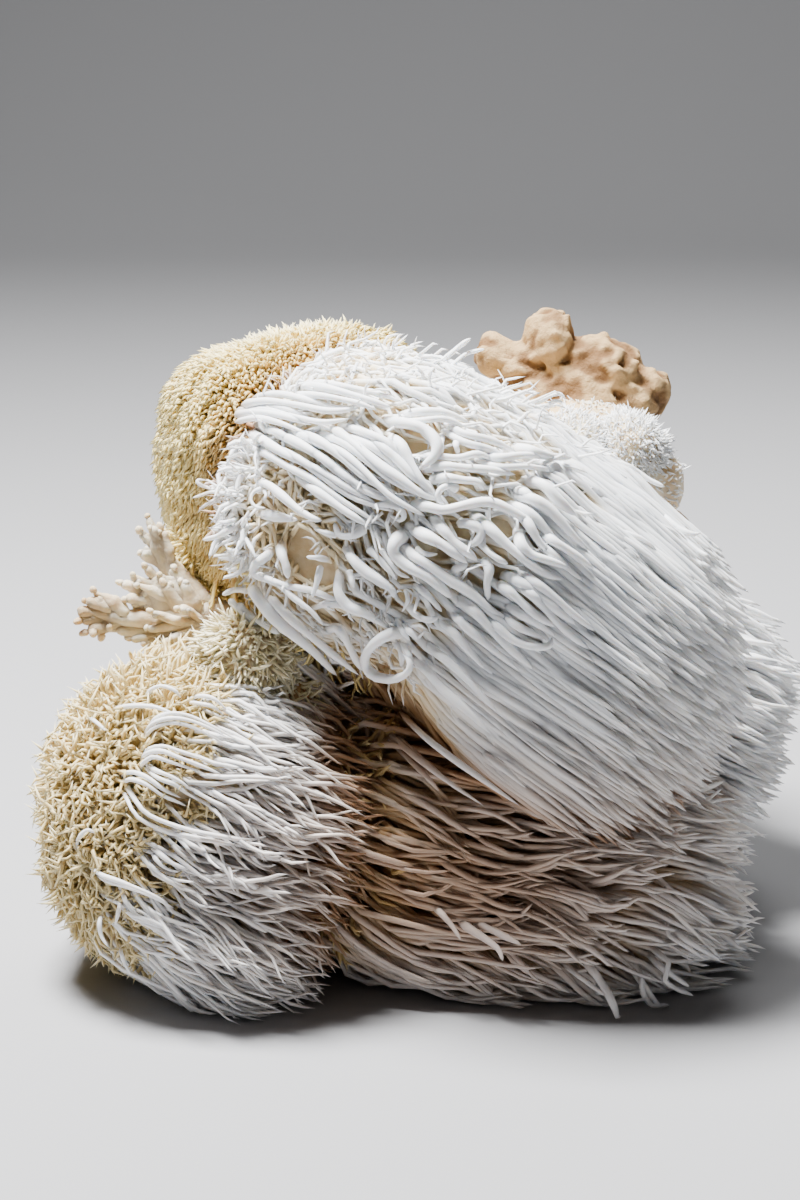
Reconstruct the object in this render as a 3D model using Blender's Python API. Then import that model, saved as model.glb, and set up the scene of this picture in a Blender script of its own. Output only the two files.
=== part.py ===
"""Lion's mane mushroom: one picked clump, lying on its spines with its foot up behind.

The clump grew as one thing from a foot, so it is split only at its main forks: foot, stem, five spiny
lobes and a small coral-like sprout. Each lobe is a rounded mass with tapering locks of spines grown out
of it: long ones combed the way the lobe hangs, and stubby ones where its back is turned to that way.

Sizes here are in millimetres and become metres when a mesh is made. +Z is up, the floor is z = 0, +X is
the way that the long spines stream, and the side with the longest spines faces -Y.
"""

import math
from dataclasses import dataclass

import bmesh
import bpy
import numpy as np
from mathutils import Matrix, Vector

MM = 0.001
FORK_GAP = 0.35  # air left between two pieces at a fork
LOCK_GAP = 1.0  # air between a lock and the next piece
LOCK_SUNK = 3.0  # how deep a lock is rooted
ROOT_JITTER = 0.06  # how far a root strays from its even place, as a share of the lobe's radius
LOCK_WANDER = 0.12  # how far a lock strays from its own line
LOCK_LEAN = 0.25  # how far a long lock's middle leans out from the skin
STUB_LEAN = 0.45  # how far a stub leans the way the lobe hangs
BACK_FACING = -0.2  # a root that faces further from the hang than this grows a stub
BRUSH_FACING = 0.75  # a root that faces nearer to the hang than this stands straight out
WAVE_SHIFTS = (7.0, 5.0, -3.0)
BALL_STEPS = (0.0, 0.25, 0.5, 0.75)  # where along a piece of a line its balls are strung
GOLDEN_TURN = math.pi * (3 - math.sqrt(5))
STAND = (-8.5, -14.5, 0.0)  # moves the whole clump so that the origin is under the middle of its box
SHARP = math.radians(50)

# Finishes: colour and roughness
SPINE_WHITE = ((0.80, 0.77, 0.69), 0.45)
STUB_CREAM = ((0.76, 0.66, 0.44), 0.50)
SHADED_TAN = ((0.62, 0.44, 0.24), 0.55)
FLESH_CREAM = ((0.78, 0.68, 0.50), 0.60)
CRUST_BROWN = ((0.26, 0.15, 0.08), 0.80)
BUFF_PINK = ((0.66, 0.45, 0.34), 0.50)


@dataclass(frozen=True)
class Lobe:
    """One spiny mass, laid out about the line that its spines hang along."""

    centre: tuple
    hang: tuple  # the way its long spines point
    half: tuple  # half sizes: sideways, across, against the hang, and along the hang
    square: float  # 2 is an ellipsoid, more is blunter
    facets: tuple  # sectors round the hang line, rings along it
    lumps: float  # height of its swellings, as a share of its size
    phase: float  # where its swellings lie
    locks: int  # how many roots are spread over it
    long_lock: tuple  # shortest and longest
    stub: float  # length of the stubby ones
    thick: float  # radius of a lock at its root
    bare: tuple = ()  # dents: direction, depth as a share, and width in radians


FRONT = Lobe(
    centre=(14.0, -12.0, 73.5),
    hang=(0.80, -0.12, -0.59),
    half=(31.0, 31.5, 49.0, 46.0),
    square=2.3,
    facets=(18, 12),
    lumps=0.05,
    phase=0.4,
    locks=112,
    long_lock=(13.0, 34.0),
    stub=7.0,
    thick=2.3,
    bare=(((-0.75, -0.55, -0.45), 0.20, 0.45),),
)
BACK = Lobe(
    centre=(-18.0, 22.0, 84.5),
    hang=(0.10, -0.25, -0.96),
    half=(26.0, 25.5, 27.0, 27.0),
    square=2.2,
    facets=(14, 9),
    lumps=0.06,
    phase=1.7,
    locks=100,
    long_lock=(8.0, 12.0),
    stub=5.5,
    thick=1.9,
)
LEFT = Lobe(
    centre=(-36.0, -13.0, 27.0),
    hang=(0.90, -0.15, -0.40),
    half=(29.0, 28.0, 25.0, 27.0),
    square=2.4,
    facets=(16, 10),
    lumps=0.06,
    phase=3.1,
    locks=96,
    long_lock=(10.0, 22.0),
    stub=7.5,
    thick=2.0,
)
LOWER = Lobe(
    centre=(11.0, -6.0, 22.0),
    hang=(0.95, -0.06, -0.30),
    half=(34.0, 28.0, 36.0, 50.0),
    square=2.5,
    facets=(16, 10),
    lumps=0.05,
    phase=4.4,
    locks=92,
    long_lock=(11.0, 24.0),
    stub=7.0,
    thick=2.1,
)
RIGHT = Lobe(
    centre=(47.0, 32.0, 36.0),
    hang=(0.88, 0.12, -0.46),
    half=(26.0, 24.5, 25.0, 25.0),
    square=2.3,
    facets=(14, 8),
    lumps=0.06,
    phase=5.6,
    locks=66,
    long_lock=(11.0, 22.0),
    stub=7.5,
    thick=2.0,
)

# Stem: a thick bent trunk from under the foot to where the left and lower lobes fork off
STEM_LINE = (
    (45.0, 54.0, 91.0),
    (40.0, 50.0, 84.0),
    (30.0, 42.0, 74.0),
    (12.0, 28.0, 62.0),
    (-10.0, 12.0, 56.0),
    (-24.0, 3.0, 52.0),
    (-31.0, -2.0, 50.0),
)
STEM_RADII = (11.0, 19.0, 23.0, 24.0, 20.0, 12.0)
STEM_SIDES = 10
STEM_KNOBS = (
    ((50.0, 36.0, 79.0), 9.0),
    ((51.5, 37.0, 69.5), 7.5),
    ((46.0, 34.0, 88.0), 8.5),
    ((33.0, 33.0, 91.0), 10.0),
    ((40.0, 62.0, 74.0), 11.0),
    ((24.0, 60.0, 80.0), 12.0),
    ((8.0, 50.0, 64.0), 13.0),
)

# Foot: brown knobs that grew against the wood, sliced flat where the clump was cut away
FOOT_KNOBS = (
    ((36.0, 62.0, 97.0), (17.0, 13.0, 11.0)),
    ((29.5, 61.0, 103.5), (8.5, 9.0, 8.0)),
    ((20.5, 60.0, 99.0), (7.5, 8.0, 7.5)),
    ((49.0, 60.0, 94.5), (8.0, 9.0, 7.0)),
    ((40.5, 58.0, 101.0), (7.0, 7.5, 6.0)),
    ((33.0, 68.0, 90.0), (13.0, 9.0, 10.0)),
)
CUT_POINT = (36.0, 69.0, 101.0)
CUT_NORMAL = (0.20, 0.86, 0.47)
CUT_SIZE = (120.0, 120.0, 60.0)
FLOOR_SIZE = (400.0, 400.0, 100.0)

# Sprout: branches as lines of points, each with its root and tip radius
SPROUT_BRANCHES = (
    (((-24.0, 9.0, 60.0), (-37.0, 5.0, 63.5), (-46.0, 3.0, 65.0), (-54.0, 2.0, 65.5)), 4.6, 1.9),
    (((-52.0, 2.0, 65.5), (-57.0, 1.0, 66.5), (-61.0, 0.0, 65.5)), 2.0, 0.7),
    (((-52.5, 2.0, 65.2), (-56.5, 0.0, 62.5), (-60.0, -1.0, 60.5)), 1.9, 0.7),
    (((-38.0, 5.0, 63.5), (-44.5, 5.0, 69.5), (-50.0, 5.0, 72.5)), 3.0, 1.1),
    (((-44.0, 5.0, 69.0), (-45.5, 6.0, 75.0), (-44.0, 6.5, 80.0)), 2.1, 0.8),
    (((-45.0, 6.0, 73.0), (-50.5, 6.0, 76.5), (-51.5, 6.0, 79.5)), 1.7, 0.7),
    (((-42.0, 4.0, 63.5), (-49.0, 0.0, 60.0), (-54.5, -2.5, 55.0)), 2.2, 0.8),
    (((-36.0, 4.0, 62.0), (-43.0, -1.0, 57.5), (-45.5, -3.0, 52.5)), 2.2, 0.8),
)
SPROUT_SIDES = 6
COMB_TEETH = 6
COMB_START = (-39.0, 3.5, 65.5)
COMB_END = (-51.0, 1.5, 67.0)
TOOTH = ((0.0, 0.0, -2.0), (-1.0, -0.6, 1.8), (-1.8, -1.0, 4.2))  # from its place on the comb
TOOTH_RADII = (1.0, 0.8)


def clear_scene():
    """Start from an empty scene."""
    for thing in list(bpy.data.objects):
        bpy.data.objects.remove(thing, do_unlink=True)


def finish(name, look):
    """A plain finish of one colour."""
    colour, roughness = look
    made = bpy.data.materials.new(name)
    made.use_nodes = True
    shader = made.node_tree.nodes["Principled BSDF"]
    shader.inputs["Base Color"].default_value = (*colour, 1.0)
    shader.inputs["Roughness"].default_value = roughness
    shader.inputs["Metallic"].default_value = 0.0
    return made


def new_object(name, mesh):
    """Put a mesh in the scene."""
    thing = bpy.data.objects.new(name, mesh)
    bpy.context.scene.collection.objects.link(thing)
    return thing


def mesh_of(verts, faces):
    """A mesh from points in millimetres."""
    mesh = bpy.data.meshes.new("shape")
    mesh.from_pydata([tuple(MM * c for c in p) for p in verts], [], faces)
    mesh.validate()
    return mesh


def mesh_from(form):
    """A mesh from a bmesh, which is used up."""
    mesh = bpy.data.meshes.new("shape")
    form.to_mesh(mesh)
    form.free()
    return mesh


def unit(v):
    """The vector at length one."""
    v = np.asarray(v, float)
    return v / np.linalg.norm(v, axis=-1, keepdims=True)


def hang_frame(lobe):
    """Rows: level sideways, across, and along the hang."""
    along = unit(lobe.hang)
    side = unit(np.cross((0.0, 0.0, 1.0), along))
    return np.array([side, np.cross(along, side), along])


def swell(lobe, ways):
    """Slow waves over the lobe's skin, about -1 to 1: the mean of three sines that run across it."""
    x, y, z = ways.T
    shifts = [lobe.phase * shift for shift in WAVE_SHIFTS]
    runs = (3.1 * x + 2.3 * y, 4.2 * y - 3.3 * z, 5.1 * z + 3.7 * x)
    return sum(np.sin(run + shift) for run, shift in zip(runs, shifts)) / 3


def skin_distance(lobe, ways):
    """From the centre to the skin along each way (rows, in the room's axes).

    The size is that of a blunt ellipsoid, |x/a|^n + |y/b|^n + |z/c|^n = 1, with its own half size
    above and below along the hang, swollen by slow waves and dented where the flesh lies bare.
    """
    local = ways @ hang_frame(lobe).T
    side, across, back, fore = lobe.half
    along = np.where(local[:, 2] < 0, back, fore)
    n = lobe.square
    reach = np.abs(local[:, 0] / side) ** n + np.abs(local[:, 1] / across) ** n
    reach = (reach + np.abs(local[:, 2] / along) ** n) ** (-1 / n)
    reach *= 1 + lobe.lumps * swell(lobe, ways)
    for way, depth, width in lobe.bare:
        off = np.arccos(np.clip(ways @ unit(way), -1, 1)) / width
        reach *= 1 - depth * np.exp(-off * off)
    return reach


def inside(lobe, points, margin):
    """Whether each point is in the lobe's mass, or nearer to it than the margin."""
    rel = np.asarray(points, float) - lobe.centre
    far = np.linalg.norm(rel, axis=1)
    return far < skin_distance(lobe, unit(rel)) + margin


def balls_along(line, widths):
    """Balls strung along a tapering line, as rows of centre and radius, to test what would meet it."""
    rows = []
    for start, end, root, tip in zip(line, line[1:], widths, [*widths[1:], 0.0]):
        start, end = np.asarray(start, float), np.asarray(end, float)
        rows += [(*(start + (end - start) * t), root + (tip - root) * t) for t in BALL_STEPS]
    return np.array(rows)


def meets(balls, others, gap):
    """Whether any ball comes nearer than the gap to any of the others."""
    apart = np.linalg.norm(balls[:, None, :3] - others[None, :, :3], axis=2)
    return (apart < balls[:, None, 3] + others[None, :, 3] + gap).any()


def mass(lobe, grow=0.0):
    """The lobe without its locks: a globe of sectors and rings, each point moved out to the skin."""
    form = bmesh.new()
    sectors, rings = lobe.facets
    bmesh.ops.create_uvsphere(form, u_segments=sectors, v_segments=rings, radius=1.0)
    ways = unit([v.co for v in form.verts]) @ hang_frame(lobe)
    skin = np.asarray(lobe.centre) + ways * (skin_distance(lobe, ways) + grow)[:, None]
    for vert, spot in zip(form.verts, skin):
        vert.co = Vector(spot) * MM
    return mesh_from(form)


def blob(centre, half, turn, sectors=7, rings=5):
    """An ellipsoid knob, turned so that no two look alike and swollen slightly out of true."""
    form = bmesh.new()
    bmesh.ops.create_uvsphere(form, u_segments=sectors, v_segments=rings, radius=1.0)
    spin = Matrix.Rotation(turn, 3, "Y") @ Matrix.Rotation(0.7 * turn, 3, "X")
    for vert in form.verts:
        way = spin @ vert.co
        swelling = 1 + 0.07 * math.sin(4 * way.x + 3 * turn) * math.cos(3 * way.z - turn)
        vert.co = Vector([MM * (c + h * w * swelling) for c, h, w in zip(centre, half, way)])
    return mesh_from(form)


def block(place, size):
    """A block whose near face's middle is at the place, and which runs on along the place's -Z."""
    form = bmesh.new()
    inward = Matrix.Translation((0.0, 0.0, -0.5 * size[2] * MM))
    bmesh.ops.create_cube(form, size=MM, matrix=place @ inward @ Matrix.Diagonal((*size, 1.0)))
    return mesh_from(form)


def tube(line, radii, sides, turn=0.0):
    """Points and faces of a tapering tube along a line, with a flat root and a point at the tip.

    Its rings are squared to the axis of the room that lies most across the line, so it never twists.
    """
    line = np.asarray(line, float)
    heading = unit(np.gradient(line, axis=0))
    level = unit(np.cross(heading, np.eye(3)[np.argmin(np.abs(line[-1] - line[0]))]))
    other = np.cross(heading, level)
    count = len(line) - 1
    angle = turn + 2 * np.pi * np.arange(sides) / sides
    verts = []
    for step in range(count):
        ring = np.outer(np.cos(angle), level[step]) + np.outer(np.sin(angle), other[step])
        verts.extend(line[step] + radii[step] * ring)
    verts.append(line[-1])
    faces = [tuple(range(sides))[::-1]]
    for step in range(count - 1):
        for k in range(sides):
            m = (k + 1) % sides
            low, high = step * sides, (step + 1) * sides
            faces.append((low + k, low + m, high + m, high + k))
    last = (count - 1) * sides
    faces += [(last + k, last + (k + 1) % sides, count * sides) for k in range(sides)]
    return verts, faces


def gather(tubes):
    """One mesh of many tubes."""
    verts, faces = [], []
    for points, sides in tubes:
        start = len(verts)
        verts += [tuple(p) for p in points]
        faces += [tuple(start + i for i in face) for face in sides]
    return mesh_of(verts, faces)


def combine(base, tool, operation):
    """Join or cut two meshes with an exact Boolean and give back the one body that comes of it."""
    body, cutter = new_object("body", base), new_object("tool", tool)
    cutter.display_type = "WIRE"
    cutter.hide_render = True
    join = body.modifiers.new("join", "BOOLEAN")
    join.operation = operation
    join.solver = "EXACT"
    join.use_self = True
    join.object = cutter
    view = bpy.context.evaluated_depsgraph_get()
    made = bpy.data.meshes.new_from_object(body.evaluated_get(view))
    bpy.data.objects.remove(body, do_unlink=True)
    bpy.data.objects.remove(cutter, do_unlink=True)
    return largest_body(made)


def largest_body(mesh):
    """Cut a mesh into triangles and keep the body with the most faces, without loose crumbs."""
    form = bmesh.new()
    form.from_mesh(mesh)
    bmesh.ops.triangulate(form, faces=form.faces)
    unseen, bodies = set(form.faces), []
    while unseen:
        edge_on = [unseen.pop()]
        body = list(edge_on)
        while edge_on:
            for edge in edge_on.pop().edges:
                fresh = [f for f in edge.link_faces if f in unseen]
                unseen.difference_update(fresh)
                edge_on += fresh
                body += fresh
        bodies.append(body)
    bodies.sort(key=len)
    crumbs = [face for body in bodies[:-1] for face in body]
    bmesh.ops.delete(form, geom=crumbs, context="FACES")
    form.to_mesh(mesh)
    form.free()
    return mesh


def floor_block():
    """Everything below the floor."""
    return block(Matrix.Identity(4), FLOOR_SIZE)


def cut_block():
    """Everything beyond the flat cut across the foot."""
    turn = Vector(CUT_NORMAL).to_track_quat("-Z", "Y").to_matrix().to_4x4()
    return block(Matrix.Translation(Vector(CUT_POINT) * MM) @ turn, CUT_SIZE)


def hug(lobe, point, lift):
    """The point moved straight in or out until it stands so far off the lobe's skin."""
    rel = point - np.asarray(lobe.centre)
    way = unit(rel)
    return np.asarray(lobe.centre) + way * (skin_distance(lobe, way[None, :])[0] + lift)


def lock_tubes(lobe, others, taken):
    """Tapering locks over a lobe, left out where they would run into another piece's mass or locks.

    Roots are spread by the golden turn. A root on the lobe's back carries a three-sided stub. A root
    beside the hang line carries a long lock that is combed down over the skin, and one at the brush
    end carries a lock that stands straight out along the hang.
    """
    rng = np.random.default_rng(int(lobe.phase * 1000))
    along = unit(lobe.hang)
    frame = hang_frame(lobe)
    tubes, room = [], []
    for k in range(lobe.locks):
        height = 1 - 2 * (k + 0.5) / lobe.locks
        spread = math.sqrt(1 - height * height)
        local = np.array([spread * math.cos(k * GOLDEN_TURN), spread * math.sin(k * GOLDEN_TURN), height])
        way = unit(local @ frame + rng.normal(0, ROOT_JITTER, 3))
        root = np.asarray(lobe.centre) + way * skin_distance(lobe, way[None, :])[0]
        side, across, back, fore = lobe.half
        sizes = np.array([side, across, back if local[2] < 0 else fore])
        out = unit((way @ frame.T / sizes) @ frame)
        facing = float(out @ along)
        wander = rng.normal(0, LOCK_WANDER, 3)
        turn = rng.uniform(0, 0.5 * math.pi)
        width = lobe.thick * rng.uniform(0.85, 1.15)
        vigour = rng.uniform(0.8, 1.15)
        start = root - LOCK_SUNK * out
        if facing > BACK_FACING:
            short, long = lobe.long_lock
            length = vigour * (short + (long - short) * (1 - max(facing, 0.0)))
            middle = root + 0.5 * length * unit(along + LOCK_LEAN * out + wander)
            tip = root + length * unit(along + 0.5 * wander)
            if facing < BRUSH_FACING:
                middle, tip = hug(lobe, middle, 0.9 * width), hug(lobe, tip, 1.6 * width)
            line, widths, sides = (start, middle, tip), (width, 0.85 * width), 4
        else:
            tip = root + vigour * lobe.stub * unit(out + STUB_LEAN * along + wander)
            line, widths, sides = (start, tip), (1.35 * width,), 3
        balls = balls_along(line, widths)
        low = (balls[:, 2] - balls[:, 3]).min() < FORK_GAP
        if low or meets(balls, taken, LOCK_GAP):
            continue
        if any(inside(other, balls[:, :3], balls[:, 3] + LOCK_GAP).any() for other in others):
            continue
        tubes.append(tube(line, widths, sides, turn))
        room.append(balls)
    return tubes, np.concatenate(room)


def stem_mesh():
    """A bent trunk that narrows to both ends, and the knobs that stand on it, joined in one."""
    stem = gather([tube(STEM_LINE, STEM_RADII, STEM_SIDES)])
    for turn, (centre, radius) in enumerate(STEM_KNOBS):
        stem = combine(stem, blob(centre, (radius,) * 3, 0.8 * turn), "UNION")
    return stem


def foot_mesh():
    """Knobs joined in one and sliced flat on the side that was against the wood."""
    foot = blob(*FOOT_KNOBS[0], 0.0, 8, 6)
    for turn, (centre, half) in enumerate(FOOT_KNOBS[1:], 1):
        foot = combine(foot, blob(centre, half, 0.9 * turn), "UNION")
    return combine(foot, cut_block(), "DIFFERENCE")


def sprout_lines():
    """The sprout's branches and the comb of teeth on its upper side, each as line, radii and sides."""
    lines = []
    for line, root, tip in SPROUT_BRANCHES:
        steps = len(line) - 1
        lines.append((line, [root + (tip - root) * k / steps for k in range(steps)], SPROUT_SIDES))
    start, end = np.array(COMB_START), np.array(COMB_END)
    for k in range(COMB_TEETH):
        tooth = start + (end - start) * k / (COMB_TEETH - 1) + TOOTH
        lines.append((tooth, TOOTH_RADII, 4))
    return lines


def sprout_mesh():
    """Small forked branches joined in one."""
    tubes = [tube(line, radii, sides) for line, radii, sides in sprout_lines()]
    return combine(gather(tubes[:1]), gather(tubes[1:]), "UNION")


def core_room():
    """Balls that fill the stem, the foot and the sprout, which no lock may run into."""
    knobs = [(*centre, radius) for centre, radius in STEM_KNOBS]
    knobs += [(*centre, max(half)) for centre, half in FOOT_KNOBS]
    rows = [np.array(knobs), balls_along(STEM_LINE, STEM_RADII)]
    rows += [balls_along(line, radii) for line, radii, _ in sprout_lines()]
    return np.concatenate(rows)


def grown(mesh, by):
    """The same shape a little larger all round, to cut a fork's gap with."""
    larger = mesh.copy()
    normals = np.array([v.normal for v in larger.vertices])
    places = np.array([v.co for v in larger.vertices]) + normals * by * MM
    larger.vertices.foreach_set("co", places.ravel())
    larger.update()
    return larger


def stand(name, mesh, slot, look):
    """Name a finished piece, give it its finish and stand it with the rest of the clump."""
    mesh.materials.clear()
    mesh.materials.append(finish(slot, look))
    mesh.shade_smooth()
    mesh.set_sharp_from_angle(angle=SHARP)
    new_object(name, mesh).location = Vector(STAND) * MM


def build():
    """Make every piece, part neighbours at their forks and stand the clump on the floor.

    The stem is cut by the front lobe, and the foot, the sprout and the other lobes by the stem. A lobe
    is also cut by the masses of the lobes before it, and the sprout by every lobe it grows between.
    """
    clear_scene()
    stem = combine(stem_mesh(), mass(FRONT, FORK_GAP), "DIFFERENCE")
    foot = combine(foot_mesh(), grown(stem, FORK_GAP), "DIFFERENCE")
    sprout = combine(sprout_mesh(), grown(stem, FORK_GAP), "DIFFERENCE")
    lobes = {
        "front_lobe": (FRONT, "white_spines", SPINE_WHITE),
        "back_lobe": (BACK, "cream_stubs", STUB_CREAM),
        "left_lobe": (LEFT, "curly_spines", SPINE_WHITE),
        "lower_lobe": (LOWER, "shaded_spines", SHADED_TAN),
        "right_lobe": (RIGHT, "far_spines", SPINE_WHITE),
    }
    room = core_room()
    done = []
    for name, (lobe, slot, look) in lobes.items():
        body = mass(lobe)
        for earlier in done:
            body = combine(body, mass(earlier, FORK_GAP), "DIFFERENCE")
        if done:
            body = combine(body, grown(stem, FORK_GAP), "DIFFERENCE")
            sprout = combine(sprout, mass(lobe, FORK_GAP), "DIFFERENCE")
        body = combine(body, floor_block(), "DIFFERENCE")
        others = [other for other, _, _ in lobes.values() if other is not lobe]
        tubes, taken = lock_tubes(lobe, others, room)
        room = np.concatenate([room, taken])
        stand(name, combine(body, gather(tubes), "UNION"), slot, look)
        done.append(lobe)
    stand("stem", stem, "pale_flesh", FLESH_CREAM)
    stand("foot", foot, "brown_crust", CRUST_BROWN)
    stand("sprout", sprout, "buff_sprout", BUFF_PINK)


build()
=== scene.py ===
"""Lion's mane mushroom: the looks of one picked clump, built round its fixed frame.

Every lobe is a lump of tan flesh with spines grown out of it one by one: long white ones combed the way
the lobe hangs, short cream ones on its back. Lengths are millimetres until a mesh is made. +Z is up.
"""

import math
from dataclasses import dataclass

import bpy
import numpy as np
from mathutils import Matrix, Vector


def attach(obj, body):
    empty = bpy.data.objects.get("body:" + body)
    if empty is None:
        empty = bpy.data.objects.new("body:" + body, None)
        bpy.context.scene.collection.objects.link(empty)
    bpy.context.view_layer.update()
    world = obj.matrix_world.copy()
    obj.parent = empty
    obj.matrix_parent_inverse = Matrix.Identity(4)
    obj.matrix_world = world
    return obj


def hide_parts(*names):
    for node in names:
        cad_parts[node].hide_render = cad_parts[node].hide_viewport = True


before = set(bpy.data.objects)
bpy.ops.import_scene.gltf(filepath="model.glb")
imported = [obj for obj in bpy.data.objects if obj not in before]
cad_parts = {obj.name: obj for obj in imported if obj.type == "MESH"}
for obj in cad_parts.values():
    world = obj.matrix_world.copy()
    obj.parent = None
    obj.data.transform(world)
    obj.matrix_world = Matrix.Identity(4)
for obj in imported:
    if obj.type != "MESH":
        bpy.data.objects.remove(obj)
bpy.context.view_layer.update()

MM = 0.001
STAND = np.array((-8.5, -14.5, 0.0))  # where the clump's own layout stands in the frame
GOLDEN_TURN = math.pi * (3 - math.sqrt(5))
WAVE_SHIFTS = (7.0, 5.0, -3.0)
FLOOR_AIR = 0.3  # the lowest skin lies this far above the surface below the clump
MARCH_STEPS = 18
HOLLOW_PAINTED_SHADE = 4.5  # how fast shade is painted on the flesh, in brown, with the depth of its hollows
PAINTED_SHADE_CENTRE = np.array((2.0, -40.0, 24.0))  # the place under the front lobe where shade is painted on the spines and flesh
PAINTED_SHADE_SIZE = np.array((45.0, 44.0, 28.0))

# Camera: the photograph's own view
VIEW_TILT = math.radians(15.0)
VIEW_DISTANCE = 525.0
VIEW_TARGET = np.array((0.0, 0.0, 66.0)) + STAND
LENS, SENSOR = 85.0, 36.0
PICTURE = np.array((800, 1200))
PIXELS_A_MM = 5.4  # at the front lobe
ROOT_SINK = 9.5  # how deep spines with a shape of their own root at most; one marked above the skin stays


@dataclass(frozen=True)
class Lobe:
    """One spiny mass, laid out about the line that its spines hang along, as the frame has it."""

    centre: tuple
    hang: tuple
    half: tuple  # half sizes: sideways, across, against the hang, and along the hang
    square: float
    lumps: float
    phase: float
    mat: tuple  # how far the flesh lies under the skin: on the back, at the brush end, and where it grows
    bare: tuple = ()  # hollows of the skin, or swellings where the depth is negative
    sunk: tuple = ()  # hollows of the flesh alone: way, depth as a share, and width


FRONT = Lobe(
    centre=(14.0, -12.0, 73.5),
    hang=(0.80, -0.12, -0.59),
    half=(31.0, 31.5, 49.0, 46.0),
    square=2.3,
    lumps=0.05,
    phase=0.4,
    mat=(2.8, 7.5, 0.3),
    bare=(((-0.75, -0.55, -0.45), 0.20, 0.45),),
    sunk=(((-0.45, -0.50, -0.74), 0.16, 0.40), ((-0.86, -0.45, 0.24), 0.07, 0.30)),
)
BACK = Lobe(
    centre=(-18.6, 22.0, 85.2),
    hang=(0.10, -0.25, -0.96),
    half=(26.0, 25.5, 27.0, 27.0),
    square=2.6,
    lumps=0.06,
    phase=1.7,
    mat=(1.6, 5.0, -0.35),
)
LEFT = Lobe(
    centre=(-36.0, -13.0, 27.0),
    hang=(0.90, -0.15, -0.40),
    half=(29.0, 28.0, 25.0, 27.0),
    square=2.4,
    lumps=0.06,
    phase=3.1,
    mat=(1.4, 8.0, -0.35),
    bare=(((-0.76, 0.0, 0.65), -0.17, 0.6),),
)
LOWER = Lobe(
    centre=(11.0, -6.0, 22.0),
    hang=(0.95, -0.06, -0.30),
    half=(34.0, 28.0, 36.0, 50.0),
    square=2.5,
    lumps=0.05,
    phase=4.4,
    mat=(5.0, 12.0, -0.35),
    sunk=(((-0.35, -0.90, 0.30), 0.10, 0.75),),
)
RIGHT = Lobe(
    centre=(47.0, 32.0, 36.0),
    hang=(0.88, 0.12, -0.46),
    half=(26.0, 24.5, 25.0, 25.0),
    square=2.3,
    lumps=0.06,
    phase=5.6,
    mat=(4.0, 9.0, -0.35),
)
LOBES = (FRONT, BACK, LEFT, LOWER, RIGHT)

# Oval gaps in the front lobe's mat, where its flesh shows, as marks in the picture: across, down, half
# length and half width
GAPS = (
    (356, 374, 8, 6), (380, 362, 6, 5), (415, 382, 12, 9), (460, 400, 14, 9), (416, 443, 11, 9),
    (447, 444, 5, 6), (470, 446, 7, 6), (495, 464, 13, 5), (463, 474, 14, 5), (427, 475, 6, 4),
    (448, 499, 5, 6), (503, 526, 13, 11), (535, 541, 11, 7), (462, 532, 10, 6), (430, 549, 14, 6),
    (501, 553, 10, 5), (478, 578, 9, 12), (526, 628, 16, 8), (398, 516, 8, 4), (372, 545, 9, 8),
    (386, 572, 7, 7), (292, 556, 34, 20), (300, 606, 22, 9), (345, 486, 16, 4), (380, 496, 16, 5),
    (328, 522, 12, 6), (404, 600, 9, 6), (392, 664, 9, 8), (330, 455, 14, 3), (440, 410, 9, 5),
    (500, 430, 9, 5), (410, 360, 8, 5),
)

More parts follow.
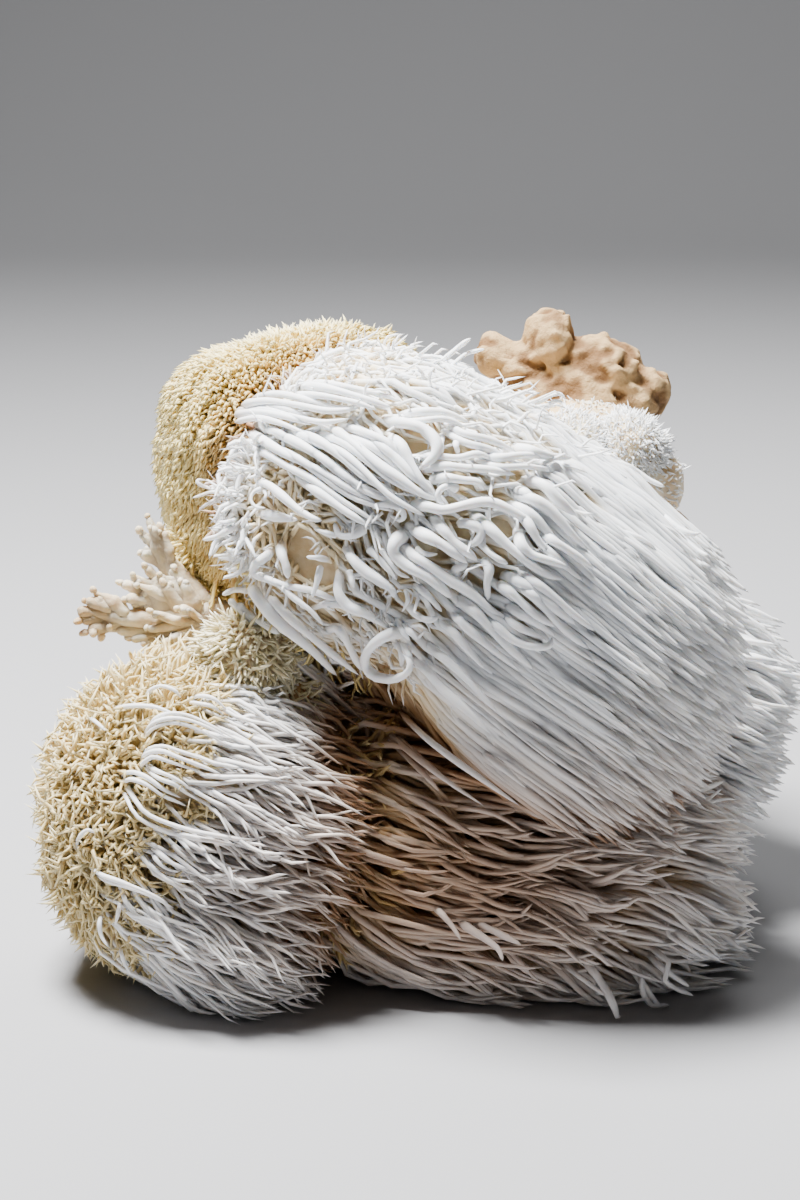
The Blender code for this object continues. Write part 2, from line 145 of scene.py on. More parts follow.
# Spines with a shape of their own: lobe, half thickness, how many lie side by side, and marks from root to
# tip: across and down in the picture, and millimetres over the lobe's skin
STRAYS = (
    # bundles at the upper left
    (FRONT, 0.84, 3, ((248, 432, 0), (267, 443, 1.5), (287, 455, 2.2), (313, 467, 2.4), (347, 487, 2.2),
     (377, 504, 1.2))),
    (FRONT, 0.8, 3, ((260, 430, 0), (290, 439, 1.6), (320, 457, 2.4), (353, 482, 2.2), (388, 497, 1))),
    (FRONT, 0.84, 2, ((277, 430, -0.5), (313, 438, 1.6), (340, 456, 2.4), (368, 479, 2.2), (400, 495, 1))),
    (FRONT, 0.8, 2, ((313, 432, -0.5), (340, 441, 1.4), (367, 460, 2.2), (393, 480, 2.2), (422, 497, 1))),
    (FRONT, 0.67, 3, ((235, 415, 0), (257, 412, 1.4), (283, 416, 1.8), (312, 425, 1))),
    (FRONT, 0.71, 3, ((242, 405, 0), (267, 401, 1.4), (297, 405, 1.8), (330, 411, 1.6), (360, 408, 0.6))),
    (FRONT, 0.84, 2, ((337, 425, -0.5), (367, 433, 1.4), (390, 445, 1.8), (410, 463, 1.4))),
    (FRONT, 0.76, 3, ((290, 387, -0.5), (320, 387, 1.2), (360, 397, 1.8), (393, 408, 1.4))),
    (FRONT, 0.76, 2, ((397, 417, -0.5), (420, 412, 1.2), (447, 413, 1.6), (470, 423, 1))),
    (FRONT, 0.76, 2, ((440, 420, -0.5), (463, 433, 1.4), (490, 440, 1.8), (517, 452, 1))),
    (FRONT, 0.76, 2, ((473, 453, -0.5), (497, 458, 1.4), (527, 455, 1.8), (557, 460, 1))),
    # round the gaps in the middle
    (FRONT, 1.05, 1, ((376, 420, -0.5), (410, 424, 1.6), (426, 430, 2), (436, 442, 2.2), (436, 454, 2),
     (426, 464, 1.4), (418, 470, 0.4))),
    (FRONT, 0.92, 1, ((388, 436, -0.5), (400, 444, 1.6), (408, 458, 2), (414, 469, 2.2), (423, 483, 2),
     (437, 495, 1))),
    (FRONT, 0.97, 1, ((330, 426, 0.5), (356, 446, 1.8), (380, 466, 2.4), (402, 480, 2.4), (422, 494, 2),
     (438, 500, 1))),
    (FRONT, 0.92, 1, ((342, 420, 0), (378, 444, 1.6), (396, 458, 2), (416, 478, 2), (434, 493, 1))),
    (FRONT, 0.6, 1, ((373, 508, 0.4), (386, 504, 1.4), (399, 508, 1.8), (404, 516, 1.6), (399, 520, 1),
     (388, 514, 0.4))),
    (FRONT, 0.97, 1, ((409, 504, 0), (426, 506, 1.6), (442, 510, 2), (458, 507, 2.2), (474, 503, 2.2),
     (490, 502, 2.2), (508, 509, 2), (526, 520, 1.6), (532, 528, 0.6))),
    (FRONT, 0.84, 1, ((430, 480, 0), (446, 478, 1.4), (462, 480, 1.6), (477, 482, 1.4), (484, 490, 0.6))),
    (FRONT, 0.67, 1, ((458, 490, 0.2), (450, 486, 1.2), (441, 489, 1.6), (438, 498, 1.4), (445, 506, 0.8))),
    (FRONT, 0.71, 1, ((418, 459, 0), (434, 456, 1.2), (458, 458, 1.4), (478, 454, 1.4), (496, 461, 0.6))),
    (FRONT, 0.84, 1, ((420, 469, 0), (442, 466, 1.2), (466, 468, 1.6), (490, 470, 1.6), (516, 475, 0.6))),
    (FRONT, 0.59, 1, ((442, 435, 0), (441, 444, 1.2), (442, 455, 0.6))),
    (FRONT, 0.59, 1, ((458, 437, 0), (456, 445, 1.2), (459, 453, 0.6))),
    (FRONT, 0.59, 1, ((477, 437, 0), (479, 445, 1.2), (483, 453, 0.6))),
    (FRONT, 0.92, 1, ((457, 523, 0.2), (470, 524, 1.4), (480, 530, 1.8), (478, 540, 1.6), (466, 548, 0.8))),
    (FRONT, 0.97, 1, ((430, 517, 0), (442, 528, 1.6), (454, 542, 2), (468, 553, 1.8), (478, 561, 0.8))),
    (FRONT, 1.13, 1, ((406, 525, 0), (426, 536, 2), (448, 548, 2.4), (468, 564, 1.6))),
    (FRONT, 1.18, 1, ((407, 532, 0), (395, 542, 2), (394, 554, 2.4), (407, 566, 2.4), (426, 575, 2.2),
     (442, 588, 2), (452, 599, 1))),
    (FRONT, 0.97, 1, ((402, 544, 0), (414, 556, 1.8), (430, 566, 2.2), (450, 580, 2.2), (470, 592, 2),
     (490, 609, 1.8), (510, 620, 0.8))),
    (FRONT, 0.5, 1, ((416, 548, 0.6), (426, 554, 1.6), (438, 554, 1.2))),
    (FRONT, 0.92, 1, ((458, 580, -0.5), (456, 569, 1.4), (468, 565, 1.2))),
    (FRONT, 0.35, 1, ((467, 580, 1), (474, 592, 1.6))),
    (FRONT, 0.59, 1, ((478, 540, 0.6), (488, 552, 1.8), (500, 560, 2.2), (508, 564, 1.8))),
    (FRONT, 0.97, 1, ((470, 514, 0), (488, 527, 1.6), (504, 542, 2.2), (520, 556, 2.2), (542, 572, 2),
     (563, 580, 1))),
    (FRONT, 0.97, 1, ((518, 526, 0), (520, 542, 1.8), (530, 554, 2.2), (547, 560, 2.2), (570, 568, 1.4))),
    (FRONT, 0.88, 1, ((510, 508, 0), (526, 521, 1.6), (538, 540, 1.8), (554, 558, 1))),
    (FRONT, 0.88, 2, ((538, 532, 0), (552, 540, 1.6), (572, 553, 1.6), (594, 569, 1))),
    (FRONT, 1.01, 2, ((502, 576, 0), (518, 581, 1.8), (538, 594, 2.2), (556, 609, 2.2), (576, 625, 1.2))),
    (FRONT, 0.92, 2, ((510, 573, 0), (530, 580, 1.8), (550, 594, 2.2), (572, 613, 2), (596, 632, 1))),
    (FRONT, 0.84, 1, ((483, 558, 0.4), (489, 569, 1.6), (487, 584, 1.8), (488, 601, 0.6))),
    (FRONT, 0.84, 2, ((500, 600, 0), (518, 612, 1.6), (538, 624, 2), (556, 637, 1))),
    (FRONT, 0.88, 1, ((476, 610, -0.5), (494, 624, 1.8), (510, 638, 2.4), (530, 646, 2.8),
     (548, 646, 2.6), (552, 637, 2))),
    (FRONT, 0.97, 3, ((450, 596, 0), (470, 607, 1.8), (484, 621, 2.2), (496, 634, 2.2), (514, 652, 2),
     (534, 670, 1))),
    (FRONT, 0.71, 1, ((409, 605, 0.6), (415, 614, 2), (428, 620, 2.4), (439, 617, 2))),
    (FRONT, 0.67, 2, ((412, 584, 0), (422, 590, 1.6), (432, 600, 1.8), (442, 612, 1))),
    (FRONT, 0.4, 1, ((405, 589, 0.4), (408, 600, 1.6), (402, 612, 1.2))),
    (FRONT, 0.6, 1, ((396, 615, 0), (401, 628, 1.6), (410, 641, 2.4))),
    (FRONT, 0.6, 1, ((399, 620, 0), (408, 630, 2), (418, 640, 2.8))),
    (FRONT, 0.97, 1, ((346, 544, 0), (352, 558, 1.4), (366, 572, 1.8), (382, 582, 2), (392, 590, 2),
     (394, 598, 1.6))),
    (FRONT, 0.6, 1, ((368, 548, 0.4), (382, 562, 1.6), (397, 580, 2.2))),
    (FRONT, 0.45, 1, ((380, 548, 0.6), (388, 560, 1.6), (399, 573, 1.8), (410, 578, 1.6))),
    (FRONT, 0.92, 1, ((510, 449, 0), (530, 450, 1.6), (550, 456, 1.8), (572, 458, 1))),
    (FRONT, 1.09, 2, ((522, 480, 0), (542, 484, 1.8), (558, 500, 2), (576, 516, 1))),
    (FRONT, 1.01, 2, ((510, 497, 0), (530, 498, 1.6), (550, 510, 2), (570, 532, 1.4), (588, 550, 0.6))),
    # round the bare hollow at the left
    (FRONT, 0.88, 1, ((295, 473, 0), (310, 486, 1.8), (330, 500, 2.4), (350, 514, 2.4), (369, 526, 1.4))),
    (FRONT, 0.8, 1, ((259, 482, 0.4), (270, 486, 2), (282, 496, 2.6), (296, 508, 2.6), (312, 518, 2.4),
     (322, 521, 1.8))),
    (FRONT, 1.01, 1, ((255, 513, -2), (274, 516, -0.6), (298, 520, -0.2))),
    (FRONT, 0.35, 1, ((263, 488, 1.2), (254, 492, 2.2), (251, 500, 2.8), (256, 507, 2.6), (266, 508, 2))),
    (FRONT, 0.3, 1, ((264, 490, 1.2), (266, 495, 2.2), (264, 501, 2.4))),
    (FRONT, 0.67, 1, ((245, 518, -0.5), (233, 527, 1.2), (218, 536, 3), (202, 540, 5))),
    (FRONT, 0.55, 1, ((244, 515, 0), (231, 522, 1.6), (218, 522, 3))),
    (FRONT, 0.5, 1, ((244, 530, 0.4), (242, 542, 1.8), (235, 551, 2.6), (226, 548, 3))),
    (FRONT, 0.42, 1, ((243, 534, 0.4), (250, 546, 2), (256, 558, 2.8))),
    (FRONT, 0.45, 1, ((246, 561, 0), (232, 559, 1.8), (218, 558, 3.2))),
    (FRONT, 0.4, 1, ((244, 571, 0), (234, 570, 1.4), (221, 569, 2.8))),
    (FRONT, 0.35, 1, ((244, 496, 0.5), (228, 494, 1.6), (212, 492, 2.6), (202, 495, 3.4), (192, 498, 4.2))),
    (FRONT, 0.35, 1, ((220, 491, 1.6), (209, 488, 2.6), (199, 484, 3.2), (198, 480, 3.2), (206, 480, 2.6))),
    (FRONT, 0.8, 1, ((275, 543, -2), (267, 556, -0.2), (256, 564, 1.2), (255, 574, 1.6), (267, 579, 1.4),
     (286, 586, 0.8), (310, 590, 0.6), (330, 598, 0.4), (345, 604, -0.6))),
    (FRONT, 0.92, 1, ((281, 539, -2.5), (282, 554, -0.6), (286, 566, 0.4), (288, 579, 0.6))),
    (FRONT, 0.55, 1, ((276, 582, 1), (294, 598, 1.8), (310, 610, 2.4), (324, 626, 3))),
    (FRONT, 0.67, 1, ((310, 608, -0.5), (328, 604, 0.6), (345, 608, -0.2))),
    (FRONT, 0.59, 1, ((321, 565, 0.2), (317, 582, 1.6), (312, 598, 2.8))),
    (FRONT, 0.55, 1, ((333, 561, -0.6), (319, 558, 1), (306, 557, 2))),
    (FRONT, 0.5, 1, ((337, 536, 0.4), (326, 533, 1.6), (314, 529, 2.2))),
    (FRONT, 0.76, 2, ((366, 527, 0.4), (354, 535, 1.4), (340, 535, 1.2), (334, 522, 1))),
    (FRONT, 1.22, 1, ((250, 585, 0.6), (261, 602, 1.8), (276, 619, 2.8), (295, 636, 3.2), (315, 653, 3.2),
     (338, 677, 3.2))),
    (FRONT, 0.84, 1, ((269, 596, 0.2), (286, 614, 2), (306, 632, 2.8), (330, 652, 3.2), (360, 676, 3.2))),
    (FRONT, 0.71, 1, ((236, 604, 0.2), (250, 615, 2), (270, 628, 2.8), (279, 634, 2.6))),
    (FRONT, 0.63, 1, ((248, 590, 0.4), (234, 590, 1.6), (222, 595, 2.4))),
    (FRONT, 0.59, 1, ((229, 599, 0.4), (240, 610, 1.6), (256, 624, 1.8), (274, 640, 1.6))),
    (FRONT, 0.8, 1, ((318, 632, -1), (338, 628, 0.8), (348, 644, 1.8), (356, 660, 2.2), (362, 671, 2))),
    (FRONT, 0.97, 1, ((407, 632, 0), (393, 633, 2), (377, 641, 3), (366, 654, 3.4), (366, 667, 3.6), (377, 677, 3.8),
     (394, 679, 4), (407, 673, 4), (410, 662, 3.6), (403, 654, 2.6))),
    (FRONT, 0.76, 1, ((392, 640, 0), (402, 651, 0.8), (401, 667, 1))),
    (FRONT, 0.97, 1, ((343, 566, -1), (338, 590, 0.6), (348, 606, 1.2), (366, 614, 1.4), (392, 630, 1))),
    (FRONT, 0.55, 1, ((349, 570, 0.6), (354, 588, 2.2))),
    (FRONT, 0.55, 1, ((350, 554, 0.4), (362, 570, 1.6), (377, 582, 2), (390, 590, 2), (394, 598, 1.6))),
    (FRONT, 0.3, 1, ((256, 636, 0.4), (257, 652, 1.4), (260, 656, 1.6), (269, 654, 1.2))),
    (FRONT, 0.6, 2, ((278, 646, 0.2), (294, 658, 1.2), (314, 674, 1.6), (338, 692, 1.6))),
    (FRONT, 0.4, 1, ((338, 688, 0.6), (347, 684, 1.4), (354, 682, 1.8))),
    (FRONT, 0.4, 1, ((368, 632, 0.8), (374, 640, 2), (378, 649, 2.8))),
    # strands to the right of the curl
    (FRONT, 0.97, 1, ((414, 655, -1), (425, 668, 1.2), (441, 687, 2.4), (463, 707, 3.4), (492, 735, 4.4))),
    (FRONT, 0.8, 1, ((424, 640, -0.5), (436, 652, 1.6), (449, 662, 2.2), (471, 684, 3), (499, 714, 3.6))),
    (FRONT, 0.84, 1, ((436, 618, 0), (449, 628, 1.8), (462, 642, 2.4), (485, 670, 3))),
    (FRONT, 0.76, 1, ((400, 640, 0), (408, 652, 2), (410, 662, 3))),
    # loose spines under the edge
    (FRONT, 0.6, 1, ((292, 712, -3), (305, 730, 0), (325, 755, 3), (352, 780, 6))),
    (FRONT, 0.8, 1, ((318, 728, -3), (334, 745, 0), (352, 762, 3), (366, 776, 5), (372, 792, 7))),
    (FRONT, 0.59, 2, ((366, 708, -4), (384, 728, -0.5), (410, 752, 3), (446, 780, 5), (484, 806, 7))),
    (FRONT, 0.6, 2, ((350, 700, -3), (372, 722, 0), (398, 748, 3), (424, 774, 5), (440, 792, 6))),
    (FRONT, 0.6, 1, ((400, 712, -2), (424, 736, 1), (452, 758, 3), (486, 782, 4), (520, 806, 5))),
    (FRONT, 0.4, 1, ((396, 774, -1), (412, 790, 2), (430, 806, 4), (449, 819, 6))),
    (FRONT, 0.35, 1, ((388, 764, -2), (395, 780, 1), (395, 792, 3), (389, 800, 4))),
    (FRONT, 0.5, 1, ((262, 686, 2), (272, 698, 5), (280, 711, 7), (289, 719, 8))),
    (FRONT, 0.5, 1, ((282, 686, 2), (286, 698, 5), (289, 709, 7), (296, 719, 8))),
    (FRONT, 0.5, 1, ((255, 700, 2), (260, 715, 5), (265, 727, 7), (272, 738, 8))),
    (FRONT, 0.5, 1, ((270, 690, 2), (272, 704, 5), (276, 714, 7), (283, 724, 8))),
    (FRONT, 0.3, 1, ((255, 634, -0.5), (256, 646, 1.5), (260, 654, 2.5), (268, 653, 3))),
    (FRONT, 0.4, 1, ((352, 706, -2), (356, 716, 0.5), (352, 724, 2), (347, 728, 3))),
    (FRONT, 0.5, 1, ((364, 716, -2), (367, 728, 1), (368, 744, 3.5))),
    (FRONT, 0.6, 1, ((470, 742, -2), (490, 758, 1), (508, 772, 3.5), (526, 788, 6))),
    # tips that leave the far side
    (FRONT, 0.6, 1, ((606, 454, -1), (630, 468, 0.6), (650, 480, 1.8), (665, 487, 3))),
    (FRONT, 0.6, 1, ((640, 498, -1), (662, 514, 0.8), (680, 529, 2.2), (692, 534, 3.5), (701, 533, 4.8))),
    (FRONT, 0.6, 1, ((655, 514, -1), (672, 529, 0.8), (688, 543, 2.2), (700, 552, 3.5), (709, 556, 4.8))),
    (FRONT, 0.55, 1, ((668, 530, -1), (686, 548, 0.8), (700, 562, 2.5), (712, 568, 4))),
    # thin hairs in the shade at the lower left
    (FRONT, 0.45, 3, ((262, 646, -1), (285, 666, 0.8), (310, 688, 1.6), (338, 712, 2))),
    (FRONT, 0.45, 3, ((268, 660, -1.5), (290, 680, 0.4), (314, 702, 1.4), (340, 728, 2))),
    (FRONT, 0.45, 3, ((282, 652, -1), (306, 672, 0.8), (332, 694, 1.6), (360, 720, 2))),
    (FRONT, 0.4, 2, ((300, 668, -1), (326, 690, 0.6), (352, 712, 1.4), (380, 738, 2))),
    # wild tips on the crest
    (FRONT, 0.55, 1, ((432, 378, -2), (444, 360, 0.5), (455, 350, 2), (464, 343, 3.5), (471, 338, 5.5))),
    (FRONT, 0.45, 1, ((440, 380, -2), (454, 364, 0.5), (466, 354, 2), (476, 351, 3), (485, 349, 4.5))),
    (FRONT, 0.4, 1, ((530, 408, -2), (543, 400, 0.5), (553, 395, 1.5), (560, 394, 2.5), (566, 399, 3))),
    (FRONT, 0.4, 1, ((535, 415, -2), (546, 406, 0.5), (557, 401, 1.5), (563, 404, 2.5), (568, 410, 3))),
    # thin loops and hairs on the left lobe
    (LEFT, 0.42, 1, ((146, 703, -1), (150, 691, 3), (161, 686, 4.5), (174, 690, 4.5), (181, 698, 3))),
    (LEFT, 0.4, 1, ((110, 710, -1), (130, 706, 3.5), (155, 707, 4.5), (176, 715, 4), (198, 722, 3))),
    (LEFT, 0.42, 2, ((188, 701, -1), (199, 696, 3.5), (214, 699, 4.5), (227, 710, 3.5))),
    (LEFT, 0.42, 1, ((87, 716, -1), (96, 722, 3), (106, 731, 3.5))),
    (LEFT, 0.42, 3, ((144, 739, -1), (150, 726, 3), (165, 719, 4.5), (184, 719, 4.5), (205, 726, 4), (227, 737, 3))),
    (LEFT, 0.45, 3, ((142, 762, -1), (146, 754, 3), (161, 751, 4.5), (180, 758, 4.5), (201, 766, 4), (223, 775, 3))),
    (LEFT, 0.42, 2, ((142, 760, -1), (155, 770, 3.5), (172, 777, 4), (190, 788, 3))),
    (LEFT, 0.45, 2, ((121, 777, -1), (131, 772, 3.5), (146, 777, 4.5), (163, 789, 4), (181, 798, 3))),
    (LEFT, 0.45, 2, ((123, 779, -1), (134, 798, 3.5), (146, 813, 4.5), (167, 823, 4.5), (193, 831, 4.5), (219, 836, 4.5),
     (247, 840, 4), (268, 836, 4.5))),
    (LEFT, 0.45, 2, ((87, 863, -1), (100, 874, 3.5), (121, 882, 4.5), (146, 892, 4.5), (168, 903, 4))),
    (LEFT, 0.38, 1, ((76, 850, -1), (79, 838, 3), (87, 830, 4), (95, 833, 3))),
    (LEFT, 0.42, 2, ((117, 901, -1), (131, 914, 3.5), (150, 920, 4.5), (166, 928, 5))),
    (LEFT, 0.38, 1, ((121, 892, -1), (119, 909, 3.5), (115, 926, 5))),
    (LEFT, 0.42, 1, ((106, 913, -1), (100, 920, 3.5), (101, 935, 5), (108, 947, 6))),
    (LEFT, 0.38, 1, ((146, 946, -1), (163, 949, 3.5), (176, 956, 5))),
    (LEFT, 0.38, 2, ((186, 941, -1), (201, 943, 3.5), (222, 937, 5))),
    (LEFT, 0.45, 1, ((214, 901, -1), (235, 914, 3.5), (256, 926, 4.5), (267, 933, 5))),
    (LEFT, 0.45, 2, ((146, 844, -1), (159, 853, 3.5), (172, 863, 4.5), (189, 870, 4))),
    (LEFT, 0.5, 1, ((218, 867, -1), (239, 876, 3.5), (260, 890, 4.5), (277, 897, 4.5), (294, 903, 5))),
    (LEFT, 0.42, 2, ((250, 850, -1), (262, 854, 3.5), (275, 859, 4.5), (292, 858, 5))),
    (LEFT, 0.38, 1, ((119, 940, -1), (121, 952, 3), (125, 964, 4.5), (131, 975, 6))),
    # loose spines low down
    (LOWER, 0.6, 2, ((622, 955, -3), (640, 980, 1), (656, 1002, 4.5), (669, 1017, 7))),
    (LOWER, 0.6, 2, ((640, 945, -3), (658, 964, 1), (676, 978, 4.5), (690, 987, 6))),
    (LOWER, 0.55, 2, ((655, 915, -3), (678, 934, 1), (702, 950, 4.5), (720, 960, 6))),
    (LOWER, 0.55, 1, ((556, 955, -3), (574, 972, 1), (592, 986, 4), (606, 996, 6))),
    (LOWER, 0.6, 1, ((432, 904, -3), (440, 912, 0.5), (452, 926, 2.5), (461, 940, 4))),
    (LOWER, 0.76, 1, ((452, 912, -3), (466, 926, 0.5), (484, 938, 3), (498, 949, 5), (503, 961, 6.5))),
    (LOWER, 0.76, 1, ((466, 912, -4), (480, 924, 0), (500, 934, 3), (522, 945, 5.5))),
    (LOWER, 0.88, 1, ((580, 950, -4), (590, 966, 0.5), (602, 984, 4), (613, 1004, 7), (621, 1030, 9))),
)

# Places on the front lobe and how far each reaches: the nearly bare underside, the wild left edge, and the
# lower edge with short fuzz
UNDERSIDE = ((-8, -38, 52, 8), (-5, -44, 48, 7), (2, -42, 42, 8), (10, -44, 37, 7), (-20, -31, 54, 7))
LEFT_EDGE = ((-40, -32, 92, 9), (-40, -30, 82, 10), (-36, -40, 80, 7), (-39, -28, 72, 8))
FUZZY_EDGE = ((-37, -30, 66, 9), (-33, -28, 58, 10), (-24, -28, 52, 8))

# The trunk, the foot and the sprout, laid out as in the frame
STEM_LINE = ((45, 54, 91), (40, 50, 84), (30, 42, 74), (12, 28, 62), (-10, 12, 56), (-24, 3, 52), (-31, -2, 50))
STEM_RADII = (11, 19, 23, 24, 20, 12, 8)
STEM_KNOBS = (  # middle, radius, and how brown
    ((48.5, 36, 79.8), 7.4, 0.15), ((50.3, 37, 70), 6.8, 0.7), ((44.5, 34.5, 86.3), 7.8, 0), ((33, 34, 84.5), 9, 0),
    ((40, 62, 74), 11, 0.3), ((24, 60, 80), 12, 0.2), ((8, 50, 64), 13, 0.1), ((-27, -12, 58), 8.5, 0.6),
    ((-22, -11, 49), 8.0, 0.8), ((-37, 15, 72), 6.0, 0.8), ((-34, 13, 63), 6.5, 0.8),
)
FOOT_KNOBS = (
    ((30.5, 60, 104.2), (5.0, 6, 6.5)), ((42, 59, 99), (6.5, 7, 6.0)), ((49.3, 59.5, 94), (5.4, 6, 5.4)),
    ((18.6, 60, 101.3), (3.7, 4.5, 4.2)), ((34, 63, 94), (14, 9, 8.5)), ((24.5, 60, 98), (5, 6, 5.0)),
    ((36.5, 56, 96), (5, 4.5, 4.5)), ((33, 68, 90), (13, 9, 10)), ((36.2, 60, 100.4), (4.6, 6, 5.0)),
    ((33, 55, 91), (12, 6, 7)), ((45, 57, 91), (7, 6, 6)),
)
CUT_POINT, CUT_NORMAL = (36, 69, 101), (0.20, 0.86, 0.47)
SPROUT_STALKS = (  # line, then the radius at its root and at its tip
    (((-24, 9, 60), (-34, 6, 62), (-41, 3.5, 61.8), (-48, 2.5, 61.6), (-55, 2, 62.6)), 3.4, 1.5),
    (((-34, 7, 62), (-40.5, 6.5, 67.5), (-44.5, 6, 73), (-45.8, 6, 77)), 2.6, 1.5),
)
SPROUT_WEB = ((-44, 3.5, 65), (5.5, 1.5, 4.6))  # the flesh between the ribs, and its half sizes
SPROUT_FORKS = (  # where ribs start, how thick they are there, and their tips
    ((-43, 6, 70.5), 1.3, ((-46.9, 6, 80.4), (-48.4, 6.4, 77.4), (-44.4, 6, 77.8), (-48, 5, 74.4), (-46, 4.6, 79))),
    ((-37, 4.5, 60.5), 1.5, ((-52, 4, 68.2), (-50, 3, 70), (-47.4, 4, 71.2), (-45, 3, 70), (-42.6, 4, 71), (-40.4, 3, 69),
                             (-51, 2, 66), (-48.6, 2.2, 68.4), (-43.8, 2, 68.4))),
    ((-50.5, 2.4, 62.2), 1.3, ((-57, 2, 67), (-58.4, 1.4, 65.6), (-60, 1.4, 63.6), (-59.4, 1, 61.8), (-58.2, 0.6, 59.6),
                               (-55.6, 1, 59.4))),
    ((-36, 4, 58.5), 1.3, ((-53, 1.4, 59.8), (-50.2, 1, 58.2), (-47.4, 1, 57.4), (-44, 0.6, 57.4))),
    ((-36.5, 2, 61), 0.8, ((-47, 0.4, 60.4), (-46, 0, 63.6), (-41, -0.4, 64.4), (-43, -0.6, 58.6))),
)


@dataclass(frozen=True)
class Growth:
    """How the spines of one kind grow on one lobe."""

    seed: int
    roots: int  # how many roots are tried over the whole lobe
    facing: tuple  # the range of facing to the hang that carries them
    sides: int
    rings: int
    radius: tuple
    length: tuple
    lean: float  # 1 starts straight out of the flesh, 0 starts along the hang
    turn: float  # how fast a spine turns to the hang, from 0 to 1 a step
    stray: float  # how far a spine's own way strays from the hang
    sway: tuple  # height and length of its waves
    curl: float  # how far its tip turns aside
    stand: tuple  # how far its tip may stand out past the skin
    lift: tuple  # how high over the flesh it lies, as a share of the mat
    locks: tuple = (1, 0.0)  # how many spines flow together in a lock, and how closely
    start: float = 0.0  # how high in the mat its root stands, as a share
    hug: float = 0.0  # how firmly it is held down to its place in the mat, until near the brush end
    layered: bool = False  # whether spines that root further back lie higher
    clear: float = 0.0  # how wide a space it leaves round the spines with a shape of their own
    drop: float = 0.0  # how much further its tips may stand out on the lobe's lower side


# Small numpy tools


def unit(v):
    """Vectors at length one."""
    v = np.asarray(v, float)
    return v / np.maximum(np.linalg.norm(v, axis=-1, keepdims=True), 1e-9)


def smooth(low, high, x):
    """0 below low and 1 above high, with the cubic 3t^2 - 2t^3 between."""
    t = np.clip((x - low) / (high - low), 0, 1)
    return t * t * (3 - 2 * t)


def ripple(points, length, seed, count=10):
    """Smooth noise, about -1 to 1: the mean of sine waves that run in random directions."""
    rng = np.random.default_rng(seed)
    ways = unit(rng.normal(size=(count, 3))) * rng.uniform(0.6, 1.5, (count, 1))
    phases = rng.uniform(0, 2 * np.pi, count)
    return np.sin(points @ ways.T * (2 * np.pi / length) + phases).sum(-1) / math.sqrt(2 * count)


def even_ways(count):
    """Directions spread evenly over a sphere by the golden turn."""
    height = 1 - 2 * (np.arange(count) + 0.5) / count
    spread = np.sqrt(1 - height * height)
    turn = np.arange(count) * GOLDEN_TURN
    return np.stack([spread * np.cos(turn), spread * np.sin(turn), height], axis=-1)


def across(ways):
    """Two unit vectors square to each way."""
    other = np.eye(3)[np.argmin(np.abs(ways), axis=-1)]
    first = unit(np.cross(ways, other))
    return first, np.cross(ways, first)


def curve(points, count):
    """A smooth line through points: at each, the cubic whose slopes join its neighbours (Catmull-Rom)."""
    points = np.asarray(points, float)
    padded = np.concatenate([2 * points[:1] - points[1:2], points, 2 * points[-1:] - points[-2:-1]])
    place = np.linspace(0, len(points) - 1, count)
    at = np.minimum(place.astype(int), len(points) - 2)
    t = (place - at)[:, None]
    a, b, c, d = (padded[at + k] for k in range(4))
    return 0.5 * (2 * b + (c - a) * t + (2 * a - 5 * b + 4 * c - d) * t**2 + (3 * b - a - 3 * c + d) * t**3)


# The lobes' shapes


def hang_frame(lobe):
    """Rows: level sideways, across, and along the hang."""
    along = unit(lobe.hang)
    side = unit(np.cross((0.0, 0.0, 1.0), along))
    return np.array([side, np.cross(along, side), along])


def swell(lobe, ways):
    """Slow waves over the lobe's skin, about -1 to 1: the mean of three sines that run across it."""
    x, y, z = ways[..., 0], ways[..., 1], ways[..., 2]
    shifts = [lobe.phase * shift for shift in WAVE_SHIFTS]
    runs = (3.1 * x + 2.3 * y, 4.2 * y - 3.3 * z, 5.1 * z + 3.7 * x)
    return sum(np.sin(run + shift) for run, shift in zip(runs, shifts)) / 3


def dents(ways, hollows):
    """1, less each hollow's depth times exp(-(angle from its way / its width)^2)."""
    share = np.ones(ways.shape[:-1])
    for way, depth, width in hollows:
        off = np.arccos(np.clip(ways @ unit(way), -1, 1)) / width
        share = share * (1 - depth * np.exp(-off * off))
    return share


def skin_distance(lobe, ways):
    """From the centre to the mat's outer skin along each way, as in the frame.

    A blunt ellipsoid, |x/a|^n + |y/b|^n + |z/c|^n = 1, with its own half size above and below along
    the hang, swollen by slow waves and dented where the flesh lies bare.
    """
    local = ways @ hang_frame(lobe).T
    side, over, back, fore = lobe.half
    along = np.where(local[..., 2] < 0, back, fore)
    n = lobe.square
    reach = np.abs(local[..., 0] / side) ** n + np.abs(local[..., 1] / over) ** n
    reach = (reach + np.abs(local[..., 2] / along) ** n) ** (-1 / n)
    return reach * (1 + lobe.lumps * swell(lobe, ways)) * dents(ways, lobe.bare)


def mat_depth(lobe, ways):
    """The thickness of the mat of spines: it grows from the lobe's back to the brush end."""
    thin, thick, grows = lobe.mat
    return thin + (thick - thin) * smooth(grows, 1.0, ways @ unit(lobe.hang))


def flesh_distance(lobe, ways):
    """From the centre to the flesh: the skin less the mat, hollowed, with small swellings of its own."""
    reach = (skin_distance(lobe, ways) - mat_depth(lobe, ways)) * dents(ways, lobe.sunk)
    return reach + 0.7 * ripple(ways * 30.0, 9.0, int(lobe.phase * 10))


def heart(lobe):
    """A lobe's centre in the frame."""
    return np.asarray(lobe.centre) + STAND


def from_centre(lobe, points):
    """Directions and distances of points from the lobe's centre."""
    rel = points - heart(lobe)
    far = np.linalg.norm(rel, axis=-1)
    return rel / np.maximum(far, 1e-9)[..., None], far


def over_skin(lobe, points):
    """How far points lie outside a lobe's skin; below 0 is inside."""
    ways, far = from_centre(lobe, points)
    return far - skin_distance(lobe, ways)


